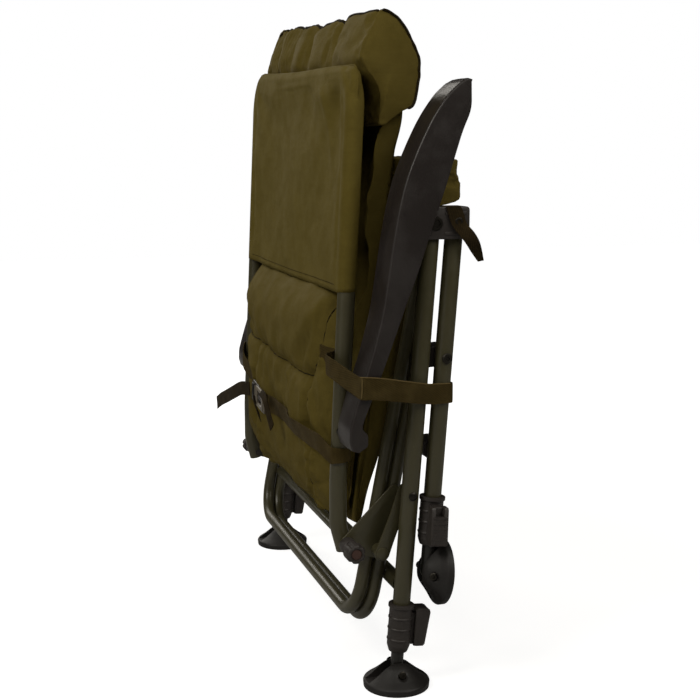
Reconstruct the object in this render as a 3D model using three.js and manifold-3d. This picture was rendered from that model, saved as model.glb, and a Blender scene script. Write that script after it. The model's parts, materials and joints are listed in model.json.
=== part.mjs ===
// A folding armchair for the bank, folded up and standing on its two rear feet.
// Millimetres, +Z up. X is the thickness of the folded chair, Y its width.
// The seat faces -X and its front edge points up while the chair is folded.
import * as THREE from 'three';
import { mergeVertices } from 'three/addons/utils/BufferGeometryUtils.js';
import Module from 'manifold-3d';

const wasm = await Module();
wasm.setup();

// Driving dimensions of the whole chair
const legHalfSpan = 300;
const legTubeRadius = 11;
const legTubeWall = 1.8;
const legTopAlong = 592;
const legPairSpacing = 30;
const legLean = THREE.MathUtils.degToRad(4.18);
const gap = 0.3;
const overrun = 5;
const roundSides = 14;
const smallSides = 8;
const tubeSides = 12;
const bendStep = THREE.MathUtils.degToRad(18);

// A faceted hole whose flats clear a faceted pin, however far the pin has turned
function looseHole(pinRadius) {
  return (pinRadius + gap) / Math.cos(Math.PI / smallSides);
}

// Pivot points of the folding linkage, as x and z
const topPivot = { x: 42.3, z: 580 };
const seatPivot = { x: 60.4, z: 416 };
const linkFoot = { x: -13, z: 168 };
const linkHead = { x: 18, z: 246 };
const reclinePivot = { x: -53, z: 177 };
const armLinkPivot = { x: -58, z: 322 };
const pivotBoltRadius = 4;
const pivotHoleRadius = looseHole(pivotBoltRadius);

// Telescopic legs, their clamps and their mud feet
const innerLegRadius = 8;
const footPinRadius = 3;
const footPinHeight = 21.5;
const innerLegRivetClearance = 13.1;
const innerLegLength = (linkHead.z - footPinHeight) / Math.cos(legLean) - innerLegRivetClearance;
const frontFootPinAlong = 145.6;
const frontFootHang = THREE.MathUtils.degToRad(84);
const collarHeight = 62;
const rearCollarAlong = 45;
const frontCollarAlong = 181;
const collarOuterRadius = 14.5;
const collarFlangeRadius = 16.3;
const collarTaperRadius = 11.6;
const collarGuideHeight = 14;
const collarRibCount = 3;
const collarRibHeight = 1;
const collarRibPitch = 14;
const collarRibStart = 16;
const collarFlangeHeight = 5;
const jawHalfWidth = 5;
const jawReach = 24;
const jawLow = 9;
const jawHigh = 50;
const leverPivotHeight = 14;
const leverPivotReach = 21.5;
const leverPinRadius = 2.5;
const leverInner = 16.8;
const leverOuterLow = 31;
const leverOuterHigh = 36;
const leverLow = 9;
const leverHigh = 56;
const leverCorner = 4;
const leverHalfWidth = 11;
const leverRibCount = 4;
const leverRibDepth = 1;
const leverRibWidth = 4;
const leverRibPitch = 8;
const leverRibStart = 20;

const footRadius = 42;
const footSides = 18;
const footTopHeight = 31;
const footSlotFloor = 9;
const footSlotHalfWidth = innerLegRadius + 2 * gap;
const footPinHalfLength = 26;
const footHeadRadius = 5;
const footHeadHeight = 2.4;
const footHeadEdge = 1;
// The foot's outline from its sole up: shares of its radius and of its height
const footShares = [
  [0, 0], [0.952, 0], [1, 0.065], [1, 0.226], [0.881, 0.355], [0.619, 0.613], [0.429, 0.871], [0.31, 1],
  [0, 1],
];

// Seat frame, a pair of nested tubes
const seatTubeRadius = 8.6;
const seatTubeWall = 1.5;
const seatTubePitch = 17.8;
const seatLean = THREE.MathUtils.degToRad(10.76);
const seatOrigin = { x: -19, z: 131 };
const seatRearAlong = -59;
const supportRearAlong = -65;
const seatFrontAlong = 508;
const supportFrontAlong = 306;
const seatBendRadius = 50;
const seatFrontTubeInset = 13;
const seatCrossTube = { x: -14, z: 141, radius: 7 };

// Gussets, links and pivot blocks beside the seat
const plateThickness = 3;
const linkClearance = 3;
const linkSpacerLength = 16.7;
const linkOuter = legHalfSpan - legTubeRadius - linkClearance;
const linkInner = linkOuter - plateThickness;
const gussetOuter = linkInner - linkSpacerLength;
const gussetInner = gussetOuter - plateThickness;
const seatHalfSpan = gussetInner - gap - seatTubeRadius;
const gussetKneeRadius = 10;
const gussetFootRadius = 12;
const gussetHead = { x: 9, z: 243, radius: 7 };
const linkFootRadius = 10;
const linkHeadRadius = 11;
const linkWaist = 7;
const linkSpacerRadius = 8;
const linkStudRadius = 5;
const linkStudHead = 2.2;
const seatBlockRadius = 14;
const seatBlockInset = 13;
const seatBlockEdge = 2;
const boltHeadRadius = 7;
const boltHeadHeight = 2.6;
const boltHeadEdge = 1;
const rivetHeadRadius = 6;
const rivetHeadHeight = 2.4;

// Cross tubes of the two leg pairs
const rearCross = { along: 128, radius: 10 };
const frontCross = { along: 300, radius: 9 };
const frontBushRadius = 14;
const frontBushLength = 26;
const bushEdge = 2;

// Moulded bracket that joins the two leg tops under each armrest
const bracketWidth = 32;
const bracketCheek = 4.7;
const bracketLow = 561;
const bracketHigh = 600;
const bracketRear = 30;
const bracketFront = 86;
const bracketCorner = 5;
const bracketWallAt = 57.6;
const bracketRoof = 4.5;
const bracketSocketTop = 594;
const bracketEdge = 1.5;
const bracketForkCorner = 1;

// Back frame, one bent tube
const backTubeRadius = 11;
const backTubeWall = 1.8;
const backInset = 2.4;
const backHalfSpan = seatHalfSpan - backInset;
const backFootX = -52;
const backFootZ = 168;
const backKneeX = -60.5;
const backKneeLowZ = 200;
const backKneeHighZ = 257;
const backTopX = -37;
const backTopZ = 768;
const backKneeRadius = 55;
const backUpperKneeRadius = 220;
const backBendRadius = 45;
const armPegRadius = 7;

// Turning knob at the foot of the back frame
const knobScrewInset = 14;
const knobCollarRadius = 10.5;
const knobCollarReach = 32;
const knobNeckRadius = 8;
const knobNeckLength = 3;
const knobCapRadius = 12.5;
const knobCapLength = 21;
const knobEdge = 1;
const knobInnerReach = backHalfSpan - knobScrewInset;
const knobCollarEnd = backHalfSpan + knobCollarReach;
const knobNeckEnd = knobCollarEnd + knobNeckLength;
const knobCapEnd = knobNeckEnd + knobCapLength;
const knobCapRound = 3;
const knobFaceRadius = 7;
const knobFaceDepth = 2;
const knobLobes = 6;
const knobLobeRadius = 3.2;
const knobLobeShare = 1.12;

// Armrests, hollow from below
const armInnerInset = 32;
const armOuterReach = 22;
const armInner = legHalfSpan - armInnerInset;
const armOuter = legHalfSpan + armOuterReach;
const armLength = 461;
const armDepth = 50;
const armRear = { x: -66, z: 312 };
const armLean = THREE.MathUtils.degToRad(17.4);
const armWall = 3.2;
const armEdge = 3.5;
const armEarRadius = 9.5;
const armBossStep = 1;
// Places along the arm, then the top and the lower edge as shares of its depth
const armTopShares = [
  [0, 0.06], [0.03, -0.13], [0.13, -0.16], [0.25, -0.14], [0.36, -0.19], [0.46, -0.33], [0.54, -0.45],
  [0.63, -0.56], [0.71, -0.6], [0.79, -0.54], [0.87, -0.43], [0.93, -0.27], [0.975, -0.1], [1, 0.14],
];
const armLowShares = [
  [1, 0.24], [0.93, 0.46], [0.87, 0.4], [0.72, 0.4], [0.6, 0.37], [0.5, 0.36], [0.41, 0.31],
  [0.29, 0.265], [0.2, 0.22], [0.085, 0.13],
];
const armHookShares = [[0.062, 0.14], [0.052, 0.33], [0.022, 0.42]];
const armPocketShares = [[0.075, 0.25], [0.26, 0.44], [0.798, 0.955]];
// The pocket that holds the bracket reaches this far below and above it
const armPocketBelow = 52;
const armPocketAbove = 59.5;

// Padded parts: the seams are shares of the half width, and the cross seam a share of the height
const seatPadInset = 8.4;
const seatPadOverhang = 33.9;
const seatPad = {
  halfWidth: seatHalfSpan - seatPadInset, lowZ: 188,
  highZ: seatOrigin.z + seatFrontAlong * Math.cos(seatLean) + seatPadOverhang,
  noseX: 93, noseStart: 629, noseFull: 646,
  drawInShare: 0.012, cornerShare: 0.04, sidePower: 5, endPower: 16,
  seamShares: [[-0.333, -0.333, 0.16], [0.333, 0.333, 0.16]],
};
const foldLine = { x: -35, z: 200, slopeShare: 0.125 };
const backPadInset = 4;
const backPad = {
  halfWidth: backHalfSpan - backTubeRadius - backPadInset, lowZ: 192, highZ: 693, rearX: -51,
  sleeveInset: 13.6, topInset: 25, insetLowZ: 455, insetHighZ: 492, taperLowZ: 520, taperHighZ: 700,
  crown: 25, crownLowZ: 186, crownFullZ: 232, crownFadeZ: 446, crownEndZ: 490, crownPower: 4.5, seamZ: 362,
  drawInShare: 0.012, cornerShare: 0.05, sidePower: 5, endPower: 9, crossSeamShare: 0.26,
  seamShares: [[-0.13, -0.9, 0.2], [0.82, 0.82, 0.14]],
};
// The pillow's end is a D: places up its height, with its rear and front as shares of its depth
const pillowInset = 5;
const pillowPad = {
  halfWidth: backHalfSpan - pillowInset, lowZ: backPad.highZ + gap, height: 142.5, rearX: -24, depth: 68.5,
  topSkew: 9, cornerShare: 0.012, drawInShare: -0.01, sidePower: 9,
  seamShares: [[-0.57, -0.57, 0.1], [-0.09, -0.09, 0.1], [0.46, 0.46, 0.1]],
};
const pillowShares = [
  [0, 0.36, 0.5], [0.02, 0.24, 0.64], [0.12, 0.26, 0.8], [0.3, 0.29, 0.955], [0.42, 0.22, 0.99],
  [0.52, 0.07, 1], [0.62, 0, 0.965], [0.74, 0.04, 0.87], [0.86, 0.1, 0.74], [0.95, 0.17, 0.58],
  [1, 0.28, 0.4],
];
const padColumns = 14;
const padRows = 14;
const noseRows = 5;
const sleeveColumns = 6;
const sleeveRows = 4;
const padRimShare = 0.12;
const seamWidth = 9;
const crossSeamWidth = 14;

// Fabric sleeve over the top of the back frame
const sleeveLowZ = 495;
const sleeveSlack = 0.8;
const sleeveCloth = 1.2;
const sleeveHollow = 5;
const sleeveFullShare = 0.25;
const sleeveSag = 3;

// Webbing: the waist strap with its buckle, the carry strap and the tabs on the brackets
const webThickness = 1.6;
const waistWidth = 30;
const waist = {
  nearZ: 311, lowZ: 272, highZ: 296, farZ: 347,
  nearShare: -0.8, midShare: 0, lowShare: 0.552, highShare: 0.813,
};
const strapSlack = 1.8;
const buckle = { halfLength: 31, halfHeight: 19, depth: 9, corner: 6 };
const carryWidth = 25;
const carry = { startInset: 70, startZ: 394, crossZ: 405, armZ: 390, endX: 66, endZ: 374 };
const wrapShares = [0.28, 0.42, 0.56, 0.7, 0.85, 1];
const pegClearShare = 0.7;
const tab = { x: 75, z: 589, length: 62, width: 21, eyeletAlong: 12, eyeletRadius: 3 };
const tabLean = THREE.MathUtils.degToRad(30);

// Colours from the photograph
const paint = new THREE.MeshStandardMaterial({ color: 0x35362b, roughness: 0.42, metalness: 0.35 });
const plastic = new THREE.MeshStandardMaterial({ color: 0x2b2726, roughness: 0.55, metalness: 0 });
const rubber = new THREE.MeshStandardMaterial({ color: 0x1d1b19, roughness: 0.6, metalness: 0 });
const steel = new THREE.MeshStandardMaterial({ color: 0x8f8f8c, roughness: 0.3, metalness: 1 });
const darkSteel = new THREE.MeshStandardMaterial({ color: 0x24231f, roughness: 0.4, metalness: 0.6 });
const cloth = new THREE.MeshStandardMaterial({ color: 0x5a5128, roughness: 0.9, metalness: 0 });
const webbing = new THREE.MeshStandardMaterial({ color: 0x3a2e17, roughness: 0.85, metalness: 0 });

const chair = new THREE.Group();
const sides = [['right', -1], ['left', 1]];

// Turns a closed geometry into a solid that can be joined and cut, and back
function solidOf(geometry) {
  const bare = geometry.clone();
  bare.deleteAttribute('normal');
  bare.deleteAttribute('uv');
  const welded = mergeVertices(bare, 1e-3);
  return new wasm.Manifold(new wasm.Mesh({
    numProp: 3,
    vertProperties: new Float32Array(welded.attributes.position.array),
    triVerts: new Uint32Array(welded.index.array),
  }));
}

function geometryOf(solid) {
  const mesh = solid.getMesh();
  const geometry = new THREE.BufferGeometry();
  geometry.setAttribute('position', new THREE.BufferAttribute(mesh.vertProperties, mesh.numProp));
  geometry.setIndex(new THREE.BufferAttribute(mesh.triVerts, 1));
  return geometry;
}

function carve(body, tools) {
  let solid = solidOf(body);
  for (const tool of tools) solid = solid.subtract(solidOf(tool));
  return geometryOf(solid);
}

function fuse(parts) {
  let solid = solidOf(parts[0]);
  for (const part of parts.slice(1)) solid = solid.add(solidOf(part));
  return geometryOf(solid);
}

function place(name, geometry, material, parent = chair) {
  const mesh = new THREE.Mesh(geometry, material);
  mesh.name = name;
  parent.add(mesh);
  return mesh;
}

// An outline in X and Z, as thick in Y as the two bounds say, on either side of the chair
function slab(outline, side, inner, outer, bevel = 0, arcSteps = 3) {
  const geometry = new THREE.ExtrudeGeometry(outline, {
    depth: outer - inner - 2 * bevel, steps: 1, curveSegments: arcSteps, bevelEnabled: bevel > 0,
    bevelThickness: bevel, bevelSize: bevel, bevelOffset: -bevel, bevelSegments: 2,
  });
  geometry.rotateX(Math.PI / 2);
  const farFace = side > 0 ? outer : -inner;
  geometry.translate(0, farFace - bevel, 0);
  return geometry;
}

// A round pin, spacer or hole along Y, given by its reach from the middle plane
function crossPin(centre, radius, side, inner, outer, segments = smallSides) {
  const geometry = new THREE.CylinderGeometry(radius, radius, outer - inner, segments);
  geometry.translate(centre.x, side * (inner + outer) / 2, centre.z);
  return geometry;
}

// A revolved profile about Y, its heights counted outward from the middle plane
function turnedOutward(points, centre, side, segments = roundSides) {
  const geometry = new THREE.LatheGeometry(points.map(([r, h]) => new THREE.Vector2(r, h)), segments);
  if (side < 0) geometry.rotateX(Math.PI);
  geometry.translate(centre.x, 0, centre.z);
  return geometry;
}

// A revolved profile about Z
function turnedUp(points, segments = roundSides) {
  const geometry = new THREE.LatheGeometry(points.map(([r, h]) => new THREE.Vector2(r, h)), segments);
  geometry.rotateX(Math.PI / 2);
  return geometry;
}

// The outline that two circles and their outer tangents make
function tangentOutline(a, radiusA, b, radiusB) {
  const length = Math.hypot(b.x - a.x, b.z - a.z);
  const heading = Math.atan2(b.z - a.z, b.x - a.x);
  const spread = Math.acos((radiusA - radiusB) / length);
  const shape = new THREE.Shape();
  shape.absarc(a.x, a.z, radiusA, heading + spread, heading - spread + 2 * Math.PI, false);
  shape.absarc(b.x, b.z, radiusB, heading - spread, heading + spread, false);
  shape.closePath();
  return shape;
}

function roundedBox(left, low, right, high, corner) {
  const shape = new THREE.Shape();
  shape.moveTo(left + corner, low);
  shape.lineTo(right - corner, low);
  shape.quadraticCurveTo(right, low, right, low + corner);
  shape.lineTo(right, high - corner);
  shape.quadraticCurveTo(right, high, right - corner, high);
  shape.lineTo(left + corner, high);
  shape.quadraticCurveTo(left, high, left, high - corner);
  shape.lineTo(left, low + corner);
  shape.quadraticCurveTo(left, low, left + corner, low);
  return shape;
}

// A path of straight runs and round bends, with a section exactly at each end of a run
class BentPath extends THREE.Curve {
  constructor(corners, radii) {
    super();
    this.stations = [];
    const push = (point, tangent) => this.stations.push({ point: point.clone(), tangent: tangent.clone() });
    let heading = corners[1].clone().sub(corners[0]).normalize();
    push(corners[0], heading);
    for (let i = 1; i < corners.length - 1; i++) {
      const next = corners[i + 1].clone().sub(corners[i]).normalize();
      const turn = heading.angleTo(next);
      const steps = Math.max(Math.round(turn / bendStep), 2);
      const setback = radii[i - 1] * Math.tan(turn / 2);
      const start = corners[i].clone().addScaledVector(heading, -setback);
      const inward = next.clone().addScaledVector(heading, -next.dot(heading)).normalize();
      const centre = start.clone().addScaledVector(inward, radii[i - 1]);
      for (let k = 0; k <= steps; k++) {
        const angle = turn * k / steps;
        const point = centre.clone()
          .addScaledVector(inward, -radii[i - 1] * Math.cos(angle))
          .addScaledVector(heading, radii[i - 1] * Math.sin(angle));
        const tangent = heading.clone().multiplyScalar(Math.cos(angle))
          .addScaledVector(inward, Math.sin(angle));
        push(point, tangent);
      }
      heading = next;
    }
    push(corners[corners.length - 1], heading);
  }

  stationAt(share) {
    return this.stations[Math.round(share * (this.stations.length - 1))];
  }

  getPointAt(share) {
    return this.stationAt(share).point.clone();
  }

  getPoint(share) {
    return this.getPointAt(share);
  }

  getTangentAt(share) {
    return this.stationAt(share).tangent.clone();
  }
}

// A bent tube with its bore open at both ends, or a solid bar where it has no wall
function bentTube(corners, radii, radius, wall) {
  const path = new BentPath(corners, radii);
  const section = new THREE.Shape();
  section.absarc(0, 0, radius, 0, 2 * Math.PI, false);
  const bore = new THREE.Path();
  bore.absarc(0, 0, radius - wall, 0, 2 * Math.PI, true);
  if (wall > 0) section.holes.push(bore);
  return new THREE.ExtrudeGeometry(section, {
    steps: path.stations.length - 1, curveSegments: tubeSides / 2, extrudePath: path,
  });
}

function straightTube(length, radius, wall, segments = roundSides) {
  const inside = radius - wall;
  return turnedUp([[inside, 0], [radius, 0], [radius, length], [inside, length], [inside, 0]], segments);
}

// Legs: each stands in its own leaning group, with its height counted along the tube
function legGroup(which, side) {
  const group = new THREE.Group();
  group.position.set(which === 'rear' ? 0 : legPairSpacing, side * legHalfSpan, 0);
  group.rotation.y = legLean;
  chair.add(group);
  return group;
}

function alongOf(height) {
  return height / Math.cos(legLean);
}

function legTube(which) {
  const collarAt = which === 'rear' ? rearCollarAlong : frontCollarAlong;
  const foot = collarAt + collarGuideHeight + 2 * gap;
  const body = straightTube(legTopAlong - foot, legTubeRadius, legTubeWall);
  body.translate(0, 0, foot);
  const holes = which === 'rear' ? [topPivot.z, linkHead.z] : [seatPivot.z];
  const drills = holes.map((height) => {
    const drill = new THREE.CylinderGeometry(pivotHoleRadius, pivotHoleRadius, 3 * legTubeRadius, smallSides);
    drill.translate(0, 0, alongOf(height));
    return drill;
  });
  return carve(body, drills);
}

// The clamp is drawn with its lever pivot low; the front legs carry it upside down
function clampHeight(which, height) {
  return which === 'rear' ? rearCollarAlong + height : frontCollarAlong + collarHeight - height;
}

function clampTurn(which, side, geometry) {
  if (which === 'front') geometry.rotateZ(side * Math.PI / 2);
  return geometry;
}

function clampSlab(which, points, halfWidth) {
  const shape = new THREE.Shape(points.map(([x, h]) => new THREE.Vector2(x, clampHeight(which, h))));
  const geometry = new THREE.ExtrudeGeometry(shape, { depth: 2 * halfWidth, bevelEnabled: false });
  geometry.rotateX(Math.PI / 2);
  geometry.translate(0, halfWidth, 0);
  return geometry;
}

function lockCollar(which, side) {
  const low = which === 'rear' ? rearCollarAlong : frontCollarAlong;
  const guide = innerLegRadius + gap;
  const seat = legTubeRadius + gap;
  const profile = [
    [guide, 0], [collarTaperRadius, 0], [collarOuterRadius, collarRibStart - collarRibPitch / 2],
  ];
  for (let i = 0; i < collarRibCount; i++) {
    const at = collarRibStart + i * collarRibPitch;
    profile.push([collarOuterRadius, at - collarRibHeight], [collarOuterRadius + collarRibHeight, at]);
    profile.push([collarOuterRadius, at + collarRibHeight]);
  }
  const flangeLow = collarHeight - collarFlangeHeight;
  profile.push([collarOuterRadius, flangeLow], [collarFlangeRadius, flangeLow]);
  profile.push([collarFlangeRadius, collarHeight], [seat, collarHeight], [seat, collarGuideHeight]);
  profile.push([guide, collarGuideHeight], [guide, 0]);
  const ring = turnedUp(profile);
  ring.translate(0, 0, low);
  const jaw = clampSlab(which, [
    [collarOuterRadius - legTubeWall, jawLow], [jawReach, jawLow], [jawReach, jawHigh],
    [collarOuterRadius - legTubeWall, jawHigh],
  ], jawHalfWidth);
  clampTurn(which, side, jaw);
  const pinHole = new THREE.CylinderGeometry(leverPinRadius, leverPinRadius, 3 * jawHalfWidth, smallSides);
  pinHole.translate(leverPivotReach, 0, clampHeight(which, leverPivotHeight));
  clampTurn(which, side, pinHole);
  return carve(fuse([ring, jaw]), [pinHole]);
}

function lockLever(which, side) {
  const block = clampSlab(which, [
    [leverInner, leverLow], [leverOuterLow - leverCorner, leverLow], [leverOuterLow, leverLow + leverCorner],
    [leverOuterHigh, leverHigh - leverCorner], [leverOuterHigh - leverCorner, leverHigh],
    [leverInner, leverHigh],
  ], leverHalfWidth);
  const pocket = clampSlab(which, [
    [leverInner - overrun, leverLow - overrun], [jawReach + gap, leverLow - overrun],
    [jawReach + gap, jawHigh + gap], [leverInner - overrun, jawHigh + gap],
  ], jawHalfWidth + gap);
  const forkTop = leverPivotHeight + jawReach - leverPivotReach + 4 * gap;
  const fork = clampSlab(which, [
    [leverInner - overrun, leverLow - overrun], [leverOuterHigh + overrun, leverLow - overrun],
    [leverOuterHigh + overrun, forkTop], [leverInner - overrun, forkTop],
  ], jawHalfWidth + gap);
  const grooves = [];
  for (let i = 0; i < leverRibCount; i++) {
    const at = leverRibStart + i * leverRibPitch;
    const slope = (leverOuterHigh - leverOuterLow) / (leverHigh - leverLow);
    const face = leverOuterLow + slope * (at - leverLow);
    grooves.push(clampSlab(which, [
      [face - leverRibDepth, at], [face + overrun, at], [face + overrun, at + leverRibWidth],
      [face - leverRibDepth, at + leverRibWidth],
    ], leverHalfWidth - leverRibWidth / 2));
  }
  const pin = new THREE.CylinderGeometry(
    leverPinRadius - gap, leverPinRadius - gap, 2 * (jawHalfWidth + 2 * gap), smallSides);
  pin.translate(leverPivotReach, 0, clampHeight(which, leverPivotHeight));
  const lever = fuse([carve(block, [pocket, fork, ...grooves]), pin]);
  return clampTurn(which, side, lever);
}

function innerLeg(which) {
  const pinAlong = which === 'rear' ? alongOf(footPinHeight) : frontFootPinAlong;
  const body = turnedUp([
    [0, -innerLegRadius], [innerLegRadius / 2, -innerLegRadius * Math.cos(Math.PI / 6)],
    [innerLegRadius * Math.cos(Math.PI / 6), -innerLegRadius / 2], [innerLegRadius, 0],
    [innerLegRadius, innerLegLength], [0, innerLegLength],
  ], tubeSides);
  const bore = looseHole(footPinRadius);
  const drill = new THREE.CylinderGeometry(bore, bore, 3 * innerLegRadius, smallSides);
  const leg = carve(body, [drill]);
  leg.translate(0, 0, pinAlong);
  return leg;
}

// Where a foot's pin lies, in the chair's own axes
function footPinPlace(which) {
  const along = which === 'rear' ? alongOf(footPinHeight) : frontFootPinAlong;
  const start = which === 'rear' ? 0 : legPairSpacing;
  return { x: start + along * Math.sin(legLean), z: along * Math.cos(legLean) };
}

// A mud foot is a dome with a slot for the leg and ribs round it; the front ones hang tilted on edge
function mudFoot(which, side) {
  const dome = turnedUp(footShares.map(([r, h]) => [r * footRadius, h * footTopHeight]), footSides);
  const slot = new THREE.BoxGeometry(3 * footRadius, 2 * footSlotHalfWidth, footTopHeight);
  slot.translate(0, 0, footSlotFloor + footTopHeight / 2);
  const bore = looseHole(footPinRadius);
  const drill = new THREE.CylinderGeometry(bore, bore, 3 * footRadius, smallSides);
  drill.translate(0, 0, footPinHeight);
  const headReach = footRadius - footPinHalfLength + overrun;
  const headBore = looseHole(footHeadRadius);
  const sinks = sides.map(([, end]) => {
    const sink = new THREE.CylinderGeometry(headBore, headBore, headReach, smallSides);
    sink.translate(0, end * (footPinHalfLength - footHeadHeight + headReach / 2), footPinHeight);
    return sink;
  });
  const foot = carve(dome, [slot, drill, ...sinks]);
  return setFoot(which, side, foot);
}

function setFoot(which, side, geometry) {
  const pin = footPinPlace(which);
  geometry.translate(0, 0, -footPinHeight);
  if (which === 'front') geometry.rotateY(-frontFootHang);
  geometry.translate(pin.x, side * legHalfSpan, pin.z);
  return geometry;
}

function footPin(which, side) {
  const inner = footPinHalfLength - footHeadHeight;
  const pin = new THREE.LatheGeometry([
    [0, -inner - footHeadHeight + gap], [footHeadRadius - footHeadEdge, -inner - footHeadHeight + gap],
    [footHeadRadius, -inner - footHeadHeight / 2], [footHeadRadius, -inner - gap],
    [footPinRadius, -inner - gap],
    [footPinRadius, inner + gap], [footHeadRadius, inner + gap], [footHeadRadius, inner + footHeadHeight / 2],
    [footHeadRadius - footHeadEdge, inner + footHeadHeight - gap], [0, inner + footHeadHeight - gap],
  ].map(([r, h]) => new THREE.Vector2(r, h)), smallSides);
  const at = footPinPlace(which);
  pin.translate(at.x, side * legHalfSpan, at.z);
  return pin;
}

function buildLegs() {
  for (const which of ['rear', 'front']) {
    for (const [sideName, side] of sides) {
      const leg = legGroup(which, side);
      const suffix = `${which}_${sideName}`;
      place(`leg_tube_${suffix}`, legTube(which), paint, leg);
      place(`lock_collar_${suffix}`, lockCollar(which, side), plastic, leg);
      place(`lock_lever_${suffix}`, lockLever(which, side), plastic, leg);
      place(`inner_leg_${suffix}`, innerLeg(which), darkSteel, leg);
      place(`mud_foot_${suffix}`, mudFoot(which, side), rubber);
      place(`foot_pin_${suffix}`, footPin(which, side), steel);
    }
  }
}

// Cross tubes run between the inner faces of a pair of legs
function buildLegCrossTubes() {
  const reach = legHalfSpan - legTubeRadius - gap;
  for (const [name, cross, start] of [
    ['leg_cross_tube_rear', rearCross, 0], ['leg_cross_tube_front', frontCross, legPairSpacing],
  ]) {
    const at = { x: start + cross.along * Math.sin(legLean), z: cross.along * Math.cos(legLean) };
    const inside = cross.radius - legTubeWall;
    const tube = [
      [inside, -reach], [cross.radius, -reach], [cross.radius, reach], [inside, reach], [inside, -reach],
    ];
    place(name, turnedOutward(tube, at, 1), paint);
    if (cross !== frontCross) continue;
    for (const [sideName, side] of sides) {
      const bore = cross.radius + gap;
      const inner = reach - frontBushLength;
      const bush = [
        [bore, inner], [frontBushRadius - bushEdge, inner], [frontBushRadius, inner + bushEdge],
        [frontBushRadius, reach],
        [bore, reach], [bore, inner],
      ];
      place(`cross_bush_${sideName}`, turnedOutward(bush, at, side), plastic);
    }
  }
}

// Points of the seat frame, from a length along the rails and a depth below the pad
function seatPoint(along, depth, y) {
  return new THREE.Vector3(
    seatOrigin.x + along * Math.sin(seatLean) + depth * Math.cos(seatLean),
    y,
    seatOrigin.z + along * Math.cos(seatLean) - depth * Math.sin(seatLean));
}

function seatRail(rear, front, depth) {
  const corners = [
    seatPoint(front, depth, -seatHalfSpan), seatPoint(rear, depth, -seatHalfSpan),
    seatPoint(rear, depth, seatHalfSpan), seatPoint(front, depth, seatHalfSpan),
  ];
  return bentTube(corners, [seatBendRadius, seatBendRadius], seatTubeRadius, seatTubeWall);
}

function seatCross(centre, radius) {
  const reach = seatHalfSpan - seatTubeRadius - gap;
  const inside = radius - seatTubeWall;
  return turnedOutward(
    [[inside, -reach], [radius, -reach], [radius, reach], [inside, reach], [inside, -reach]], centre, 1);
}

// The gusset holds the foot of the back frame and carries the stud of the link on its outer face
function gusset(side) {
  const wing = tangentOutline(reclinePivot, gussetKneeRadius, gussetHead, gussetHead.radius);
  const root = tangentOutline(linkFoot, gussetFootRadius, gussetHead, gussetHead.radius);
  const foot = tangentOutline(reclinePivot, gussetKneeRadius, linkFoot, gussetFootRadius);
  const plates = [wing, root, foot].map((outline) => slab(outline, side, gussetInner, gussetOuter));
  const spacer = crossPin(
    linkFoot, linkSpacerRadius, side, gussetOuter - plateThickness / 2, linkInner - gap);
  const stud = crossPin(linkFoot, linkStudRadius, side, gussetOuter, linkOuter + gap + linkStudHead);
  const head = crossPin(
    linkFoot, linkSpacerRadius, side, linkOuter + gap, linkOuter + gap + linkStudHead);
  const hole = crossPin(reclinePivot, pivotHoleRadius, side, gussetInner - overrun, gussetOuter + overrun);
  return carve(fuse([...plates, spacer, stud, head]), [hole]);
}

function linkPlate(side) {
  const length = Math.hypot(linkHead.x - linkFoot.x, linkHead.z - linkFoot.z);
  const across = { x: (linkHead.z - linkFoot.z) / length, z: -(linkHead.x - linkFoot.x) / length };
  const waistAt = (share, reach) => new THREE.Vector2(
    linkFoot.x + share * (linkHead.x - linkFoot.x) + reach * across.x,
    linkFoot.z + share * (linkHead.z - linkFoot.z) + reach * across.z);
  const shape = new THREE.Shape();
  const heading = Math.atan2(linkHead.z - linkFoot.z, linkHead.x - linkFoot.x);
  const quarter = Math.PI / 2;
  shape.absarc(linkFoot.x, linkFoot.z, linkFootRadius, heading + quarter, heading + 3 * quarter, false);
  shape.quadraticCurveTo(
    waistAt(0.5, linkWaist).x, waistAt(0.5, linkWaist).y,
    waistAt(1, linkHeadRadius).x, waistAt(1, linkHeadRadius).y);
  shape.absarc(linkHead.x, linkHead.z, linkHeadRadius, heading - quarter, heading + quarter, false);
  shape.quadraticCurveTo(
    waistAt(0.5, -linkWaist).x, waistAt(0.5, -linkWaist).y,
    waistAt(0, -linkFootRadius).x, waistAt(0, -linkFootRadius).y);
  const hole = crossPin(linkFoot, looseHole(linkStudRadius), side, linkInner - overrun, linkOuter + overrun);
  return carve(slab(shape, side, linkInner, linkOuter), [hole]);
}

function seatBlock(side) {
  const rail = seatPoint((seatPivot.z - seatOrigin.z) / Math.cos(seatLean), seatTubePitch / 2, 0);
  const outline = tangentOutline({ x: rail.x, z: rail.z }, seatBlockInset, seatPivot, seatBlockRadius);
  const outer = legHalfSpan - legTubeRadius - gap;
  const block = slab(outline, side, gussetInner, outer, seatBlockEdge);
  return carve(block, [crossPin(seatPivot, pivotHoleRadius, side, gussetInner - overrun, outer + overrun)]);
}

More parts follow.
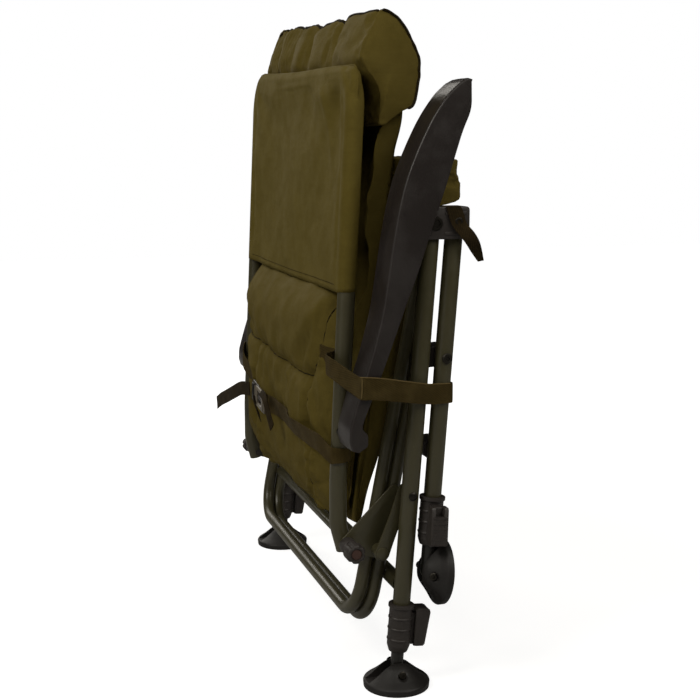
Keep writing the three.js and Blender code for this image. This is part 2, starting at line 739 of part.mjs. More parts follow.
function buildSeatFrame() {
  place('seat_frame_tube', seatRail(seatRearAlong, seatFrontAlong, -seatTubePitch / 2), paint);
  place('seat_support_tube', seatRail(supportRearAlong, supportFrontAlong, seatTubePitch / 2), paint);
  const front = seatPoint(seatFrontAlong - seatFrontTubeInset, -seatTubePitch / 2, 0);
  place('seat_front_tube', seatCross({ x: front.x, z: front.z }, seatTubeRadius), paint);
  place('seat_cross_tube', seatCross(seatCrossTube, seatCrossTube.radius), paint);
  for (const [sideName, side] of sides) {
    place(`seat_gusset_${sideName}`, gusset(side), paint);
    place(`link_plate_${sideName}`, linkPlate(side), paint);
    place(`seat_pivot_block_${sideName}`, seatBlock(side), plastic);
    const boltEnd = legHalfSpan + legTubeRadius + gap;
    place(`seat_pivot_bolt_${sideName}`, turnedOutward([
      [0, gussetInner + gap], [pivotBoltRadius, gussetInner + gap], [pivotBoltRadius, boltEnd],
      [boltHeadRadius, boltEnd], [boltHeadRadius, boltEnd + boltHeadHeight / 2],
      [boltHeadRadius / 2, boltEnd + boltHeadHeight], [0, boltEnd + boltHeadHeight],
    ], seatPivot, side), darkSteel);
    const rivetStart = linkOuter + 2 * gap;
    place(`leg_rivet_${sideName}`, turnedOutward([
      [0, rivetStart], [pivotBoltRadius, rivetStart], [pivotBoltRadius, boltEnd], [rivetHeadRadius, boltEnd],
      [rivetHeadRadius / 2, boltEnd + rivetHeadHeight], [0, boltEnd + rivetHeadHeight],
    ], linkHead, side), steel);
  }
}

// The front leg stands in the bracket's socket and the rear leg swings in its open fork
function legBracket(side) {
  const inner = legHalfSpan - bracketWidth / 2;
  const outer = legHalfSpan + bracketWidth / 2;
  const body = slab(
    roundedBox(bracketRear, bracketLow, bracketFront, bracketHigh, bracketCorner),
    side, inner, outer, bracketEdge);
  const fork = slab(
    roundedBox(
      bracketRear - 2 * overrun, bracketLow - 2 * overrun, bracketWallAt, bracketHigh - bracketRoof,
      bracketForkCorner),
    side, inner + bracketCheek, outer - bracketCheek);
  const socketLength = bracketSocketTop - bracketLow + 2 * overrun;
  const socketRadius = legTubeRadius + gap;
  const socket = new THREE.CylinderGeometry(socketRadius, socketRadius, socketLength, roundSides);
  socket.rotateX(Math.PI / 2);
  socket.translate(0, 0, alongOf(bracketSocketTop) - socketLength / 2);
  socket.rotateY(legLean);
  socket.translate(legPairSpacing, side * legHalfSpan, 0);
  const hole = crossPin(topPivot, pivotHoleRadius, side, inner - overrun, outer - bracketCheek / 3);
  return carve(body, [fork, socket, hole]);
}

function topBolt(side) {
  const end = legHalfSpan + bracketWidth / 2 - bracketCheek / 2;
  const start = armInner - gap;
  return turnedOutward([
    [0, start - boltHeadHeight], [boltHeadRadius - boltHeadEdge, start - boltHeadHeight],
    [boltHeadRadius, start - boltHeadEdge], [boltHeadRadius, start], [pivotBoltRadius, start],
    [pivotBoltRadius, end], [0, end],
  ], topPivot, side);
}

// Points of the armrest, from a share of its length and a share of its depth
function armPoint(lengthShare, depthShare, extraDepth = 0) {
  const along = lengthShare * armLength;
  const depth = depthShare * armDepth + extraDepth;
  return new THREE.Vector2(
    armRear.x + along * Math.sin(armLean) + depth * Math.cos(armLean),
    armRear.z + along * Math.cos(armLean) - depth * Math.sin(armLean));
}

function armShareAt(z) {
  return (z - armRear.z) / Math.cos(armLean) / armLength;
}

function armTopAt(share) {
  const next = armTopShares.findIndex(([place]) => place >= share);
  const [a, depthA] = armTopShares[Math.max(next - 1, 0)];
  const [b, depthB] = armTopShares[next];
  return b === a ? depthB : depthA + (depthB - depthA) * (share - a) / (b - a);
}

// The armrest: a curved profile with rounded edges, hollowed from below between its ribs
function armrest(side) {
  const shape = new THREE.Shape();
  const top = armTopShares.map(([u, w]) => armPoint(u, w));
  const low = armLowShares.map(([u, w]) => armPoint(u, w));
  const hook = armHookShares.map(([u, w]) => armPoint(u, w));
  shape.moveTo(top[0].x, top[0].y);
  shape.splineThru(top.slice(1));
  for (const point of [...low, ...hook]) shape.lineTo(point.x, point.y);
  shape.closePath();
  const body = slab(shape, side, armInner, armOuter, armEdge, 1);
  const aroundBracket = [armShareAt(bracketLow - armPocketBelow), armShareAt(bracketHigh + armPocketAbove)];
  const pockets = [...armPocketShares, aroundBracket].map(([from, to]) => {
    const outline = new THREE.Shape();
    const steps = 5;
    const start = armPoint(from, 0, 2 * armDepth);
    outline.moveTo(start.x, start.y);
    for (let i = 0; i <= steps; i++) {
      const share = from + (to - from) * i / steps;
      const point = armPoint(share, armTopAt(share), armWall);
      outline.lineTo(point.x, point.y);
    }
    const end = armPoint(to, 0, 2 * armDepth);
    outline.lineTo(end.x, end.y);
    return slab(outline, side, armInner + armWall, armOuter - armWall);
  });
  const earRoot = armPoint(armShareAt(topPivot.z), 0);
  const ear = slab(
    tangentOutline({ x: earRoot.x, z: earRoot.y }, armEarRadius, topPivot, armEarRadius),
    side, armInner, armInner + armWall);
  const boss = crossPin(
    topPivot, armEarRadius - armBossStep, side, armInner + armWall / 2,
    legHalfSpan - bracketWidth / 2 - gap, roundSides);
  const hole = crossPin(topPivot, pivotHoleRadius, side, armInner - overrun, legHalfSpan);
  return carve(fuse([carve(body, pockets), ear, boss]), [hole]);
}

function buildArmrests() {
  for (const [sideName, side] of sides) {
    place(`armrest_${sideName}`, armrest(side), plastic);
    place(`leg_bracket_${sideName}`, legBracket(side), plastic);
    place(`top_pivot_bolt_${sideName}`, topBolt(side), darkSteel);
  }
}

function backPoint(x, z, y) {
  return new THREE.Vector3(x, y, z);
}

// The back frame, with a peg on each side that reaches to the armrest's inner wall
function backFrame() {
  const corners = [
    backPoint(backFootX, backFootZ, -backHalfSpan), backPoint(backKneeX, backKneeLowZ, -backHalfSpan),
    backPoint(backKneeX, backKneeHighZ, -backHalfSpan), backPoint(backTopX, backTopZ, -backHalfSpan),
    backPoint(backTopX, backTopZ, backHalfSpan), backPoint(backKneeX, backKneeHighZ, backHalfSpan),
    backPoint(backKneeX, backKneeLowZ, backHalfSpan), backPoint(backFootX, backFootZ, backHalfSpan),
  ];
  const radii = [
    backKneeRadius, backUpperKneeRadius, backBendRadius, backBendRadius, backUpperKneeRadius, backKneeRadius,
  ];
  const tube = bentTube(corners, radii, backTubeRadius, backTubeWall);
  const pegs = sides.map(([, side]) => crossPin(
    armLinkPivot, armPegRadius, side, backHalfSpan + backTubeRadius / 2, armInner - gap));
  const holes = sides.map(([, side]) => crossPin(
    reclinePivot, pivotHoleRadius, side,
    backHalfSpan - 2 * backTubeRadius, backHalfSpan + 2 * backTubeRadius));
  return carve(fuse([tube, ...pegs]), holes);
}

function reclineKnob(side) {
  const start = gussetOuter + gap;
  const body = turnedOutward([
    [0, knobInnerReach], [pivotBoltRadius, knobInnerReach], [pivotBoltRadius, start],
    [knobCollarRadius, start],
    [knobCollarRadius, knobCollarEnd], [knobNeckRadius, knobCollarEnd], [knobNeckRadius, knobNeckEnd],
    [knobCapRadius, knobNeckEnd + knobEdge], [knobCapRadius, knobCapEnd - knobCapRound],
    [knobCapRadius - knobCapRound, knobCapEnd], [knobFaceRadius, knobCapEnd],
    [knobFaceRadius, knobCapEnd - knobFaceDepth], [0, knobCapEnd - knobFaceDepth],
  ], reclinePivot, side, roundSides);
  const flutes = [];
  for (let i = 0; i < knobLobes; i++) {
    const angle = 2 * Math.PI * (i + 0.5) / knobLobes;
    const reach = knobCapRadius * knobLobeShare;
    const centre = {
      x: reclinePivot.x + reach * Math.cos(angle), z: reclinePivot.z + reach * Math.sin(angle),
    };
    flutes.push(crossPin(
      centre, knobLobeRadius, side, knobNeckEnd - knobEdge, knobCapEnd + overrun, knobLobes));
  }
  return carve(body, flutes);
}

// A closed solid of two sheets on one grid: each place has a middle, a half depth and its Y and Z
function sheetPair(rows, columns, placeAt) {
  const positions = [];
  const index = [];
  for (const face of [-1, 1]) {
    for (let i = 0; i <= rows; i++) {
      for (let j = 0; j <= columns; j++) {
        const { middle, depth, y, z } = placeAt(i / rows, j / columns);
        positions.push(middle + face * depth, y, z);
      }
    }
  }
  const sheet = (rows + 1) * (columns + 1);
  const quad = (a, b, c, d) => index.push(a, b, c, a, c, d);
  for (let i = 0; i < rows; i++) {
    for (let j = 0; j < columns; j++) {
      const a = i * (columns + 1) + j;
      const c = a + columns + 1;
      quad(a, c, c + 1, a + 1);
      quad(sheet + a, sheet + a + 1, sheet + c + 1, sheet + c);
    }
  }
  const top = rows * (columns + 1);
  for (let j = 0; j < columns; j++) {
    quad(j, j + 1, sheet + j + 1, sheet + j);
    quad(top + j, sheet + top + j, sheet + top + j + 1, top + j + 1);
  }
  for (let i = 0; i < rows; i++) {
    const a = i * (columns + 1);
    const b = a + columns + 1;
    quad(a, sheet + a, sheet + b, b);
    quad(a + columns, b + columns, sheet + b + columns, sheet + a + columns);
  }
  const geometry = new THREE.BufferGeometry();
  geometry.setAttribute('position', new THREE.Float32BufferAttribute(positions, 3));
  geometry.setIndex(index);
  return geometry;
}

// Heights of a pad's rows, crowded towards the lower or the upper end
function rowsUpFrom(low, high, count) {
  return Array.from({ length: count }, (_, i) => high - (high - low) * Math.cos(Math.PI / 2 * i / count));
}

function rowsUpTo(low, high, count) {
  return Array.from({ length: count + 1 }, (_, i) => low + (high - low) * Math.sin(Math.PI / 2 * i / count));
}

// Places for a pad: columns crowd towards the rim, where the two faces draw together
function paddedSolid(pad, heights, rear, front, crownAt = () => 0) {
  const low = heights[0];
  const high = heights[heights.length - 1];
  const rimDepth = (t, power) => Math.max(
    Math.pow(1 - Math.pow(Math.min(Math.abs(t), 1), power), 1 / power), padRimShare);
  return sheetPair(heights.length - 1, padColumns, (rowShare, columnShare) => {
    const along = heights[Math.round(rowShare * (heights.length - 1))];
    const s = (2 * along - high - low) / (high - low);
    const t = Math.sin(Math.PI / 2 * (2 * columnShare - 1));
    const pull = pad.cornerShare * Math.pow(Math.abs(s * t), 4);
    const z = along - Math.sign(s) * pull * pad.halfWidth + (pad.topSkew ?? 0) * t * Math.max(s, 0);
    const y = pad.halfWidth * t * (1 - pad.drawInShare * (1 - s * s)) * (1 - pull);
    const ends = pad.endPower ? rimDepth(s, pad.endPower) : 1;
    let depth = (front(along) - rear(along)) / 2 * ends * rimDepth(t, pad.sidePower);
    for (const [lowShare, highShare, share] of pad.seamShares) {
      const seamY = pad.halfWidth * (lowShare + (highShare - lowShare) * (s + 1) / 2);
      depth *= 1 - share * Math.exp(-Math.pow((y - seamY) / seamWidth, 2));
    }
    const crown = crownAt(along) * (pad.crownPower ? rimDepth(t, pad.crownPower) : 0);
    return { middle: (rear(along) + front(along) - crown) / 2, depth: depth + crown / 2, y, z };
  });
}

function smooth(from, to, value) {
  const t = Math.min(Math.max((value - from) / (to - from), 0), 1);
  return t * t * (3 - 2 * t);
}

// The plane in which the folded seat and back pads meet
function foldLineX(z) {
  return foldLine.x + foldLine.slopeShare * (z - foldLine.z);
}

function seatFaceX(z) {
  const along = (z - seatOrigin.z) / Math.cos(seatLean);
  const depth = seatTubePitch / 2 + seatTubeRadius + gap;
  return seatOrigin.x + along * Math.sin(seatLean) - depth / Math.cos(seatLean);
}

// How far the back pad swells out behind the back frame, with its cross seam drawn in
function backCrown(z) {
  const seam = 1 - backPad.crossSeamShare * Math.exp(-Math.pow((z - backPad.seamZ) / seamWidth, 2));
  return backPad.crown * seam * smooth(backPad.crownLowZ, backPad.crownFullZ, z)
    * (1 - smooth(backPad.crownFadeZ, backPad.crownEndZ, z));
}

// Rear or front of the pillow at one of its rows
function pillowX(z, column) {
  const at = (z - pillowPad.lowZ) / pillowPad.height;
  const away = (shares) => Math.abs(shares[0] - at);
  const row = pillowShares.reduce((best, next) => (away(next) < away(best) ? next : best));
  return pillowPad.rearX + row[column] * pillowPad.depth;
}

function buildPads() {
  const seatHeights = [
    ...rowsUpFrom(seatPad.lowZ, seatPad.noseStart, padRows - noseRows),
    ...rowsUpTo(seatPad.noseStart, seatPad.highZ, noseRows),
  ];
  place('seat_mattress', paddedSolid(seatPad, seatHeights, (z) => foldLineX(z) + gap / 2, (z) => {
    const nose = smooth(seatPad.noseStart, seatPad.noseFull, z);
    return seatFaceX(z) * (1 - nose) + seatPad.noseX * nose;
  }), cloth);
  const seamLow = backPad.seamZ - crossSeamWidth;
  const seamHigh = backPad.seamZ + crossSeamWidth;
  const backHeights = [
    ...rowsUpFrom(backPad.lowZ, seamLow, padRows / 2 - 2), seamLow, backPad.seamZ, seamHigh,
    backPad.crownFadeZ, backPad.crownEndZ, ...rowsUpTo(backPad.taperLowZ, backPad.highZ, padRows / 2 - 3),
  ];
  place('back_mattress', paddedSolid(backPad, backHeights,
    (z) => backPad.rearX + backPad.sleeveInset * smooth(backPad.insetLowZ, backPad.insetHighZ, z)
      + (backPad.topInset - backPad.sleeveInset) * smooth(backPad.taperLowZ, backPad.taperHighZ, z),
    (z) => foldLineX(z) - gap / 2, backCrown), cloth);
  const pillowHeights = pillowShares.map(([share]) => pillowPad.lowZ + share * pillowPad.height);
  place('headrest_pillow', paddedSolid(
    pillowPad, pillowHeights, (z) => pillowX(z, 1), (z) => pillowX(z, 2)), cloth);
}

// The sleeve is a pocket of thin cloth, open below: a skin round the bent tube and two
// faces that are drawn in between its sides. A larger inset gives the hollow inside it.
function sleeveSolid(inset) {
  const reach = backTubeRadius + sleeveSlack + sleeveCloth - inset;
  const lowZ = inset > 0 ? sleeveLowZ - 2 * overrun : sleeveLowZ;
  const skin = bentTube([
    backPoint(backTubeX(lowZ), lowZ, -backHalfSpan), backPoint(backTopX, backTopZ, -backHalfSpan),
    backPoint(backTopX, backTopZ, backHalfSpan), backPoint(backTubeX(lowZ), lowZ, backHalfSpan),
  ], [backBendRadius, backBendRadius], reach, 0);
  const faces = sheetPair(sleeveRows, sleeveColumns, (rowShare, columnShare) => {
    const z = lowZ + (backTopZ - 2 * inset - lowZ) * rowShare;
    const y = (backHalfSpan - 2 * inset) * (2 * columnShare - 1);
    const filled = Math.min(rowShare + sleeveFullShare, 1);
    const hollow = Math.sin(Math.PI * columnShare) * Math.sin(Math.PI * filled);
    const sag = sleeveSag * Math.sin(Math.PI * columnShare) * rowShare;
    const edge = Math.max(1 - Math.pow(2 * Math.abs(columnShare - 0.5), 16), padRimShare);
    return { middle: backTubeX(z), depth: (reach - sleeveHollow * hollow) * edge, y, z: z - sag };
  });
  return fuse([skin, faces]);
}

// Flat webbing: a ribbon of constant width and thickness with one section at each point
function ribbon(points, width, thickness) {
  const path = points.map(([x, y, z]) => new THREE.Vector3(x, y, z));
  const up = new THREE.Vector3(0, 0, 1);
  const rings = path.map((point, i) => {
    const ahead = path[Math.min(i + 1, path.length - 1)];
    const behind = path[Math.max(i - 1, 0)];
    const flat = ahead.clone().sub(behind).setZ(0).normalize();
    const normal = new THREE.Vector3().crossVectors(flat, up);
    return [[-1, -1], [1, -1], [1, 1], [-1, 1]].map(([a, b]) => point.clone()
      .addScaledVector(normal, a * thickness / 2).addScaledVector(up, b * width / 2));
  });
  const steps = rings.length - 1;
  const positions = rings.flat().flatMap((point) => [point.x, point.y, point.z]);
  const index = [0, 1, 2, 0, 2, 3];
  for (let i = 0; i < steps; i++) {
    for (let k = 0; k < 4; k++) {
      const a = 4 * i + k;
      const b = 4 * i + (k + 1) % 4;
      index.push(a, a + 4, b, b, a + 4, b + 4);
    }
  }
  const last = 4 * steps;
  index.push(last, last + 2, last + 1, last, last + 3, last + 2);
  const geometry = new THREE.BufferGeometry();
  geometry.setAttribute('position', new THREE.Float32BufferAttribute(positions, 3));
  geometry.setIndex(index);
  return geometry;
}

// The middle of the back tube at a height above its knee
function backTubeX(z) {
  return backKneeX + (backTopX - backKneeX) * (z - backKneeHighZ) / (backTopZ - backKneeHighZ);
}

function buildBack() {
  place('back_frame_tube', backFrame(), paint);
  for (const [sideName, side] of sides) place(`recline_knob_${sideName}`, reclineKnob(side), plastic);
  place('back_sleeve', carve(sleeveSolid(0), [sleeveSolid(sleeveCloth)]), cloth);
}

// The strap lies round the outer half of each back tube and crosses over the crown of the pad
function waistRoute() {
  const reach = backTubeRadius + strapSlack + webThickness / 2;
  const wrap = (side, z, shares) => shares.map((share) => {
    const angle = Math.PI * share;
    return [backTubeX(z) + reach * Math.cos(angle), side * (backHalfSpan + reach * Math.sin(angle)), z];
  });
  const x = backPad.rearX - backPad.crown - strapSlack - webThickness / 2;
  const across = (share, z) => [x, share * backHalfSpan, z];
  return [
    ...wrap(-1, waist.nearZ, wrapShares.filter((share) => share >= pegClearShare)),
    across(waist.nearShare, waist.nearZ), across(waist.midShare, (waist.nearZ + waist.lowZ) / 2),
    across(waist.lowShare, waist.lowZ), across(waist.highShare, waist.highZ),
    ...wrap(1, waist.farZ, wrapShares).reverse(),
  ];
}

function strapBuckle(route) {
  const shape = roundedBox(
    -buckle.halfLength, -buckle.halfHeight, buckle.halfLength, buckle.halfHeight, buckle.corner);
  const body = new THREE.ExtrudeGeometry(shape, {
    depth: buckle.depth, bevelEnabled: false, curveSegments: 4,
  });
  const lowY = waist.lowShare * backHalfSpan;
  const highY = waist.highShare * backHalfSpan;
  body.translate(0, 0, -buckle.depth / 2);
  body.rotateZ(Math.atan2(waist.highZ - waist.lowZ, highY - lowY));
  body.applyMatrix4(new THREE.Matrix4().makeBasis(
    new THREE.Vector3(0, 1, 0), new THREE.Vector3(0, 0, 1), new THREE.Vector3(1, 0, 0)));
  const lift = strapSlack + webThickness / 2 + buckle.depth / 2;
  body.translate(backPad.rearX - backPad.crown - lift, (highY + lowY) / 2, (waist.highZ + waist.lowZ) / 2);
  return carve(body, [ribbon(route, waistWidth + 2 * gap, webThickness + 2 * gap)]);
}

// The carry strap leaves the back beside the tube and closes round the armrest and both legs
function carryRoute() {
  const lift = strapSlack + webThickness / 2;
  const behindTube = backTubeX(carry.crossZ) - backTubeRadius - lift;
  const behindPad = backPad.rearX - backPad.crown - lift;
  const lowEdge = armShareAt(carry.armZ - carryWidth);
  const behindArm = armPoint(lowEdge, armTopAt(lowEdge)).x - lift;
  const besideArm = -armOuter - lift;
  const besideLeg = -legHalfSpan - legTubeRadius - lift;
  return [
    [behindPad, carry.startInset - backHalfSpan, carry.startZ], [behindTube, -backHalfSpan, carry.crossZ],
    [behindArm - lift, -armInner, carry.crossZ], [behindArm, -armOuter + armEdge, carry.armZ],
    [behindArm + lift, besideArm, carry.armZ], [behindArm + armDepth / 2, besideArm, carry.armZ],
    [carry.endX - 2 * legPairSpacing, besideArm, carry.armZ],
    [carry.endX - legPairSpacing, besideLeg, carry.endZ],
    [carry.endX, besideLeg, carry.endZ],
  ];
}

function bracketTab(side) {
  const half = tab.width / 2;
  const shape = roundedBox(-half, -tab.length, half, half, half / 2);
  const eyelet = new THREE.Path();
  eyelet.absarc(0, half - tab.eyeletAlong, tab.eyeletRadius, 0, 2 * Math.PI, true);
  shape.holes.push(eyelet);
  const inner = legHalfSpan + bracketWidth / 2 + gap;
  const strip = slab(shape, side, inner, inner + webThickness);
  strip.rotateY(-tabLean);
  strip.translate(tab.x, 0, tab.z - half);
  return strip;
}

function buildWebbing() {
  const route = waistRoute();
  place('waist_strap', ribbon(route, waistWidth, webThickness), webbing);
  place('strap_buckle', strapBuckle(route), plastic);
  place('carry_strap', ribbon(carryRoute(), carryWidth, webThickness), webbing);
  for (const [sideName, side] of sides) place(`bracket_tab_${sideName}`, bracketTab(side), webbing);
}

buildLegs();
buildLegCrossTubes();
buildSeatFrame();
buildArmrests();
buildBack();
buildPads();
buildWebbing();

// The origin lies on the floor, under the middle of the folded chair
const bounds = new THREE.Box3().setFromObject(chair, true);
chair.position.set(-(bounds.min.x + bounds.max.x) / 2, -(bounds.min.y + bounds.max.y) / 2, -bounds.min.z);

export default chair;
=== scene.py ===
import json
import math
import bmesh
import bpy
import numpy as np
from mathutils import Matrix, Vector
from mathutils.bvhtree import BVHTree


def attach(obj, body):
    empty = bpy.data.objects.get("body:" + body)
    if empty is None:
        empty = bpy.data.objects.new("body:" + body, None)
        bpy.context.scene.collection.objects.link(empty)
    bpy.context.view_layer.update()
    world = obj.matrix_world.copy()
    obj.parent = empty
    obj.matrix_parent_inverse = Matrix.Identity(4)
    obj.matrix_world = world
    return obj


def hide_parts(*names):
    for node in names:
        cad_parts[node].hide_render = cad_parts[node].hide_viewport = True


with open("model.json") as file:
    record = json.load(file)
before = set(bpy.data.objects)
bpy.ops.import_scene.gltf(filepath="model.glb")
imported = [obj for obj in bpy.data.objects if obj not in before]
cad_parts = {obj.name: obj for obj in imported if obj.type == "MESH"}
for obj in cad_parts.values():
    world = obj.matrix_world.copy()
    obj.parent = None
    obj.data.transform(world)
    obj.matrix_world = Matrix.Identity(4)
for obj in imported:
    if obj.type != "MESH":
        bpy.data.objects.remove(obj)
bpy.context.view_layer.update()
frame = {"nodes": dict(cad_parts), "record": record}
joints = {joint["name"]: joint for joint in frame["record"]["behaviour"]["joints"]}
sides = (("right", -1), ("left", 1))

# Lengths are millimetres in the chair's own axes, whose X starts midway between the rear feet; pivots are (x, z)
mm, pi = 0.001, math.pi
chair = {"lean": math.radians(4.18), "legSpan": 300.0, "recline": (-53.0, 177.0), "linkFoot": (-13.0, 168.0),
         "linkHead": (18.0, 246.0), "topPivot": (42.3, 580.0), "seatPivot": (60.4, 416.0)}
shiftX = joints["seat_fold"]["pos_m"][0] / mm - chair["seatPivot"][0]


def toRow(points):
    # the chair's millimetres to the row frame's metres
    return (np.asarray(points, float) + (shiftX, 0, 0)) * mm


def fromRow(points):
    return np.asarray(points) / mm - (shiftX, 0, 0)


def smoothStep(low, high, value):
    # 0 below low, 1 above high, an S between
    t = np.clip((np.asarray(value, float) - low) / (high - low), 0, 1)
    return t * t * (3 - 2 * t)


def bellAt(value, centre, width):
    # 1 at the centre, falling to 0 a few widths away
    return np.exp(-((np.asarray(value, float) - centre) / width) ** 2)


def superCurve(share, power):
    return np.maximum(1 - np.abs(share) ** power, 0) ** (1 / power)


def signedPower(value, power):
    return np.sign(value) * np.abs(value) ** power


def unit(vectors):
    return vectors / np.maximum(np.linalg.norm(vectors, axis=-1, keepdims=True), 1e-9)


def bow(a, b, c, t):
    # a quadratic curve from a to c, drawn towards b
    return (1 - t) ** 2 * a + 2 * t * (1 - t) * b + t ** 2 * c


def easedSpan(count, share=1.0):
    # from -1 to 1, closer together near both ends by the share
    line = np.linspace(-1, 1, count)
    return share * np.sin(line * pi / 2) + (1 - share) * line


def turns(count):
    return np.linspace(0, 2 * pi, count, endpoint=False)


def circle(radius, count):
    return radius * np.stack([np.cos(turns(count)), np.sin(turns(count))], -1)


def reachAlong(points):
    # the length of a broken line up to each of its points
    return np.concatenate([[0], np.cumsum(np.linalg.norm(np.diff(points, axis=0), axis=1))])


def placesAt(points, wanted):
    # the places at the wanted lengths along a broken line
    reach = reachAlong(points)
    return np.stack([np.interp(wanted, reach, column) for column in points.T], -1)


print("helpers ready")


# Mesh helpers
def addObject(name, data):
    obj = bpy.data.objects.new(name, data)
    bpy.context.scene.collection.objects.link(obj)
    return obj


def putMesh(name, vertices, faces, material, uv=None):
    mesh = bpy.data.meshes.new(name)
    mesh.from_pydata(toRow(vertices), [], faces)
    if uv is not None:
        layer = mesh.uv_layers.new(name="clothUv")
        corners = np.empty(len(mesh.loops), int)
        mesh.loops.foreach_get("vertex_index", corners)
        layer.data.foreach_set("uv", uv[corners].ravel())
    mesh.polygons.foreach_set("use_smooth", np.ones(len(mesh.polygons), bool))
    mesh.materials.append(material)
    obj = addObject(name, mesh)
    bm = bmesh.new()
    bm.from_mesh(mesh)
    bmesh.ops.remove_doubles(bm, verts=bm.verts, dist=0.00001)
    bmesh.ops.recalc_face_normals(bm, faces=bm.faces)
    bm.to_mesh(mesh)
    bm.free()
    return obj


def gridFaces(rows, columns, closeRows=False, closeColumns=False, offset=0):
    # quads of a grid whose vertex at row i and column j has the number i * columns + j
    i = np.arange(rows if closeRows else rows - 1)[:, None]
    j = np.arange(columns if closeColumns else columns - 1)[None, :]
    iNext, jNext = (i + 1) % rows, (j + 1) % columns
    quads = np.stack([i * columns + j, i * columns + jNext, iNext * columns + jNext, iNext * columns + j], -1)
    return (quads.reshape(-1, 4) + offset).tolist()


def gridPiece(name, points, material, ends="capped", uv=None):
    # a skin from rings of points[row, column], whose ends are capped, open or joined to each other
    rows, columns = points.shape[:2]
    faces = gridFaces(rows, columns, ends == "joined", True)
    if ends == "capped":
        faces += [list(range(columns)), [(rows - 1) * columns + j for j in range(columns)][::-1]]
    return putMesh(name, points.reshape(-1, 3), faces, material, None if uv is None else uv.reshape(-1, 2))


def sharpenEdges(obj, degrees=32):
    obj.data.set_sharp_from_angle(angle=math.radians(degrees))
    return obj


def turnedPiece(name, profile, material, origin, axis, sides, ring=False, ease=0.4):
    # a profile of (radius, height) carried round an axis; a ring's profile is a closed loop with eased corners,
    # any other runs from axis to axis
    axis, profile = np.asarray(axis, float), np.asarray(profile, float)
    start = np.array([1.0, 0, 0] if abs(axis[0]) < 0.9 else [0, 0, 1.0])
    start = unit(start - (start @ axis) * axis)
    spokes = circle(1, sides) @ np.stack([start, np.cross(axis, start)])
    if ring:
        before, after = np.roll(profile, 1, 0) - profile, np.roll(profile, -1, 0) - profile
        shorter = np.minimum(np.linalg.norm(before, axis=1), np.linalg.norm(after, axis=1))
        reach = np.minimum(ease, 0.45 * shorter)[:, None]
        entry, leave = profile + unit(before) * reach, profile + unit(after) * reach
        share = np.linspace(0, 1, 3)[:, None]
        profile = bow(entry[:, None], profile[:, None], leave[:, None], share).reshape(-1, 2)
    points = np.asarray(origin) + profile[:, None, :1] * spokes + profile[:, None, 1:] * axis
    return sharpenEdges(gridPiece(name, points, material, "joined" if ring else "open"))


def sweptPoints(points, tangents, section, side):
    # a section of (across, up) carried along a path; side is the direction that stays across it
    across = unit(np.asarray(side, float) - (tangents @ np.asarray(side, float))[:, None] * tangents)
    up = np.cross(tangents, across)
    if section.ndim == 2:
        section = np.broadcast_to(section, (len(points),) + section.shape)
    return points[:, None] + section[..., :1] * across[:, None] + section[..., 1:] * up[:, None]


def bentTube(name, corners, radii, radius, wall, sides, side=(1, 0, 0)):
    # straight runs joined by arcs; the skin goes along the outside, then back through the bore
    corners = [np.asarray(corner, float) for corner in corners]
    heading = unit(corners[1] - corners[0])
    points, tangents = [corners[0]], [heading]
    for corner, after, bend in zip(corners[1:-1], corners[2:], radii):
        ahead = unit(after - corner)
        turn = math.acos(float(np.clip(heading @ ahead, -1, 1)))
        inward = unit(ahead - (ahead @ heading) * heading)
        start = corner - heading * bend * math.tan(turn / 2)
        angle = np.linspace(0, turn, max(int(turn * bend / 4), 4) + 1)[:, None]
        points.extend(start + inward * bend * (1 - np.cos(angle)) + heading * bend * np.sin(angle))
        tangents.extend(heading * np.cos(angle) + inward * np.sin(angle))
        heading = ahead
    points, tangents = np.array(points + [corners[-1]]), np.array(tangents + [heading])
    skins = [sweptPoints(points, tangents, circle(size, sides), side) for size in (radius, radius - wall)]
    return sharpenEdges(gridPiece(name, np.concatenate([skins[0], skins[1][::-1]]), olivePaint, "joined"))


def hullOutline(*discs):
    # the outline round a set of discs: for each direction d, the disc with the largest c.d + r gives c + r d
    discs, heading = np.array(discs, float), circle(1, 96)
    best = np.argmax(heading @ discs[:, :2].T + discs[:, 2], axis=1)
    return discs[best, :2] + discs[best, 2:] * heading


def roundedRectangle(left, low, right, high, corner):
    # six points round each corner, from the upper right one on
    angle = (np.arange(4)[:, None] + np.linspace(0, 1, 6)) * pi / 2
    centre = np.array([(right - corner, high - corner), (left + corner, high - corner), (left + corner, low + corner),
                       (right - corner, low + corner)])
    return (centre[:, None] + corner * np.stack([np.cos(angle), np.sin(angle)], -1)).reshape(-1, 2)


def insetOutline(outline, amount):
    # each corner moves along the mean of its two edge normals, by amount / cos(half the turn)
    ahead = unit(np.roll(outline, -1, 0) - outline)
    normal = np.stack([-ahead[:, 1], ahead[:, 0]], -1)
    mean = normal + np.roll(normal, 1, 0)
    return outline + amount * mean / np.maximum((mean ** 2).sum(1, keepdims=True) / 2, 0.5)


def plateIn(name, outline, origin, axes, low, high, material, edge=0.8, steps=3):
    # an outline (a, b) along axes[0] and axes[1], carried from low to high along axes[2], with rounded rims:
    # the inset is edge * (1 - sin t) while the height is edge * (1 - cos t)
    outline = np.asarray(outline, float)
    area = np.sum(outline[:, 0] * np.roll(outline[:, 1], -1) - outline[:, 1] * np.roll(outline[:, 0], -1))
    outline = outline if area > 0 else outline[::-1]
    t = np.linspace(0, pi / 2, steps + 1)
    inset, rise = edge * (1 - np.sin(t)), edge * (1 - np.cos(t))
    rings = np.stack([insetOutline(outline, amount) for amount in [*inset, *inset[::-1]]])
    heights = np.concatenate([low + rise, high - rise[::-1]])[:, None, None]
    axes = np.asarray(axes, float)
    points = np.asarray(origin, float) + rings[..., :1] * axes[0] + rings[..., 1:] * axes[1] + heights * axes[2]
    return sharpenEdges(gridPiece(name, points, material), 38)


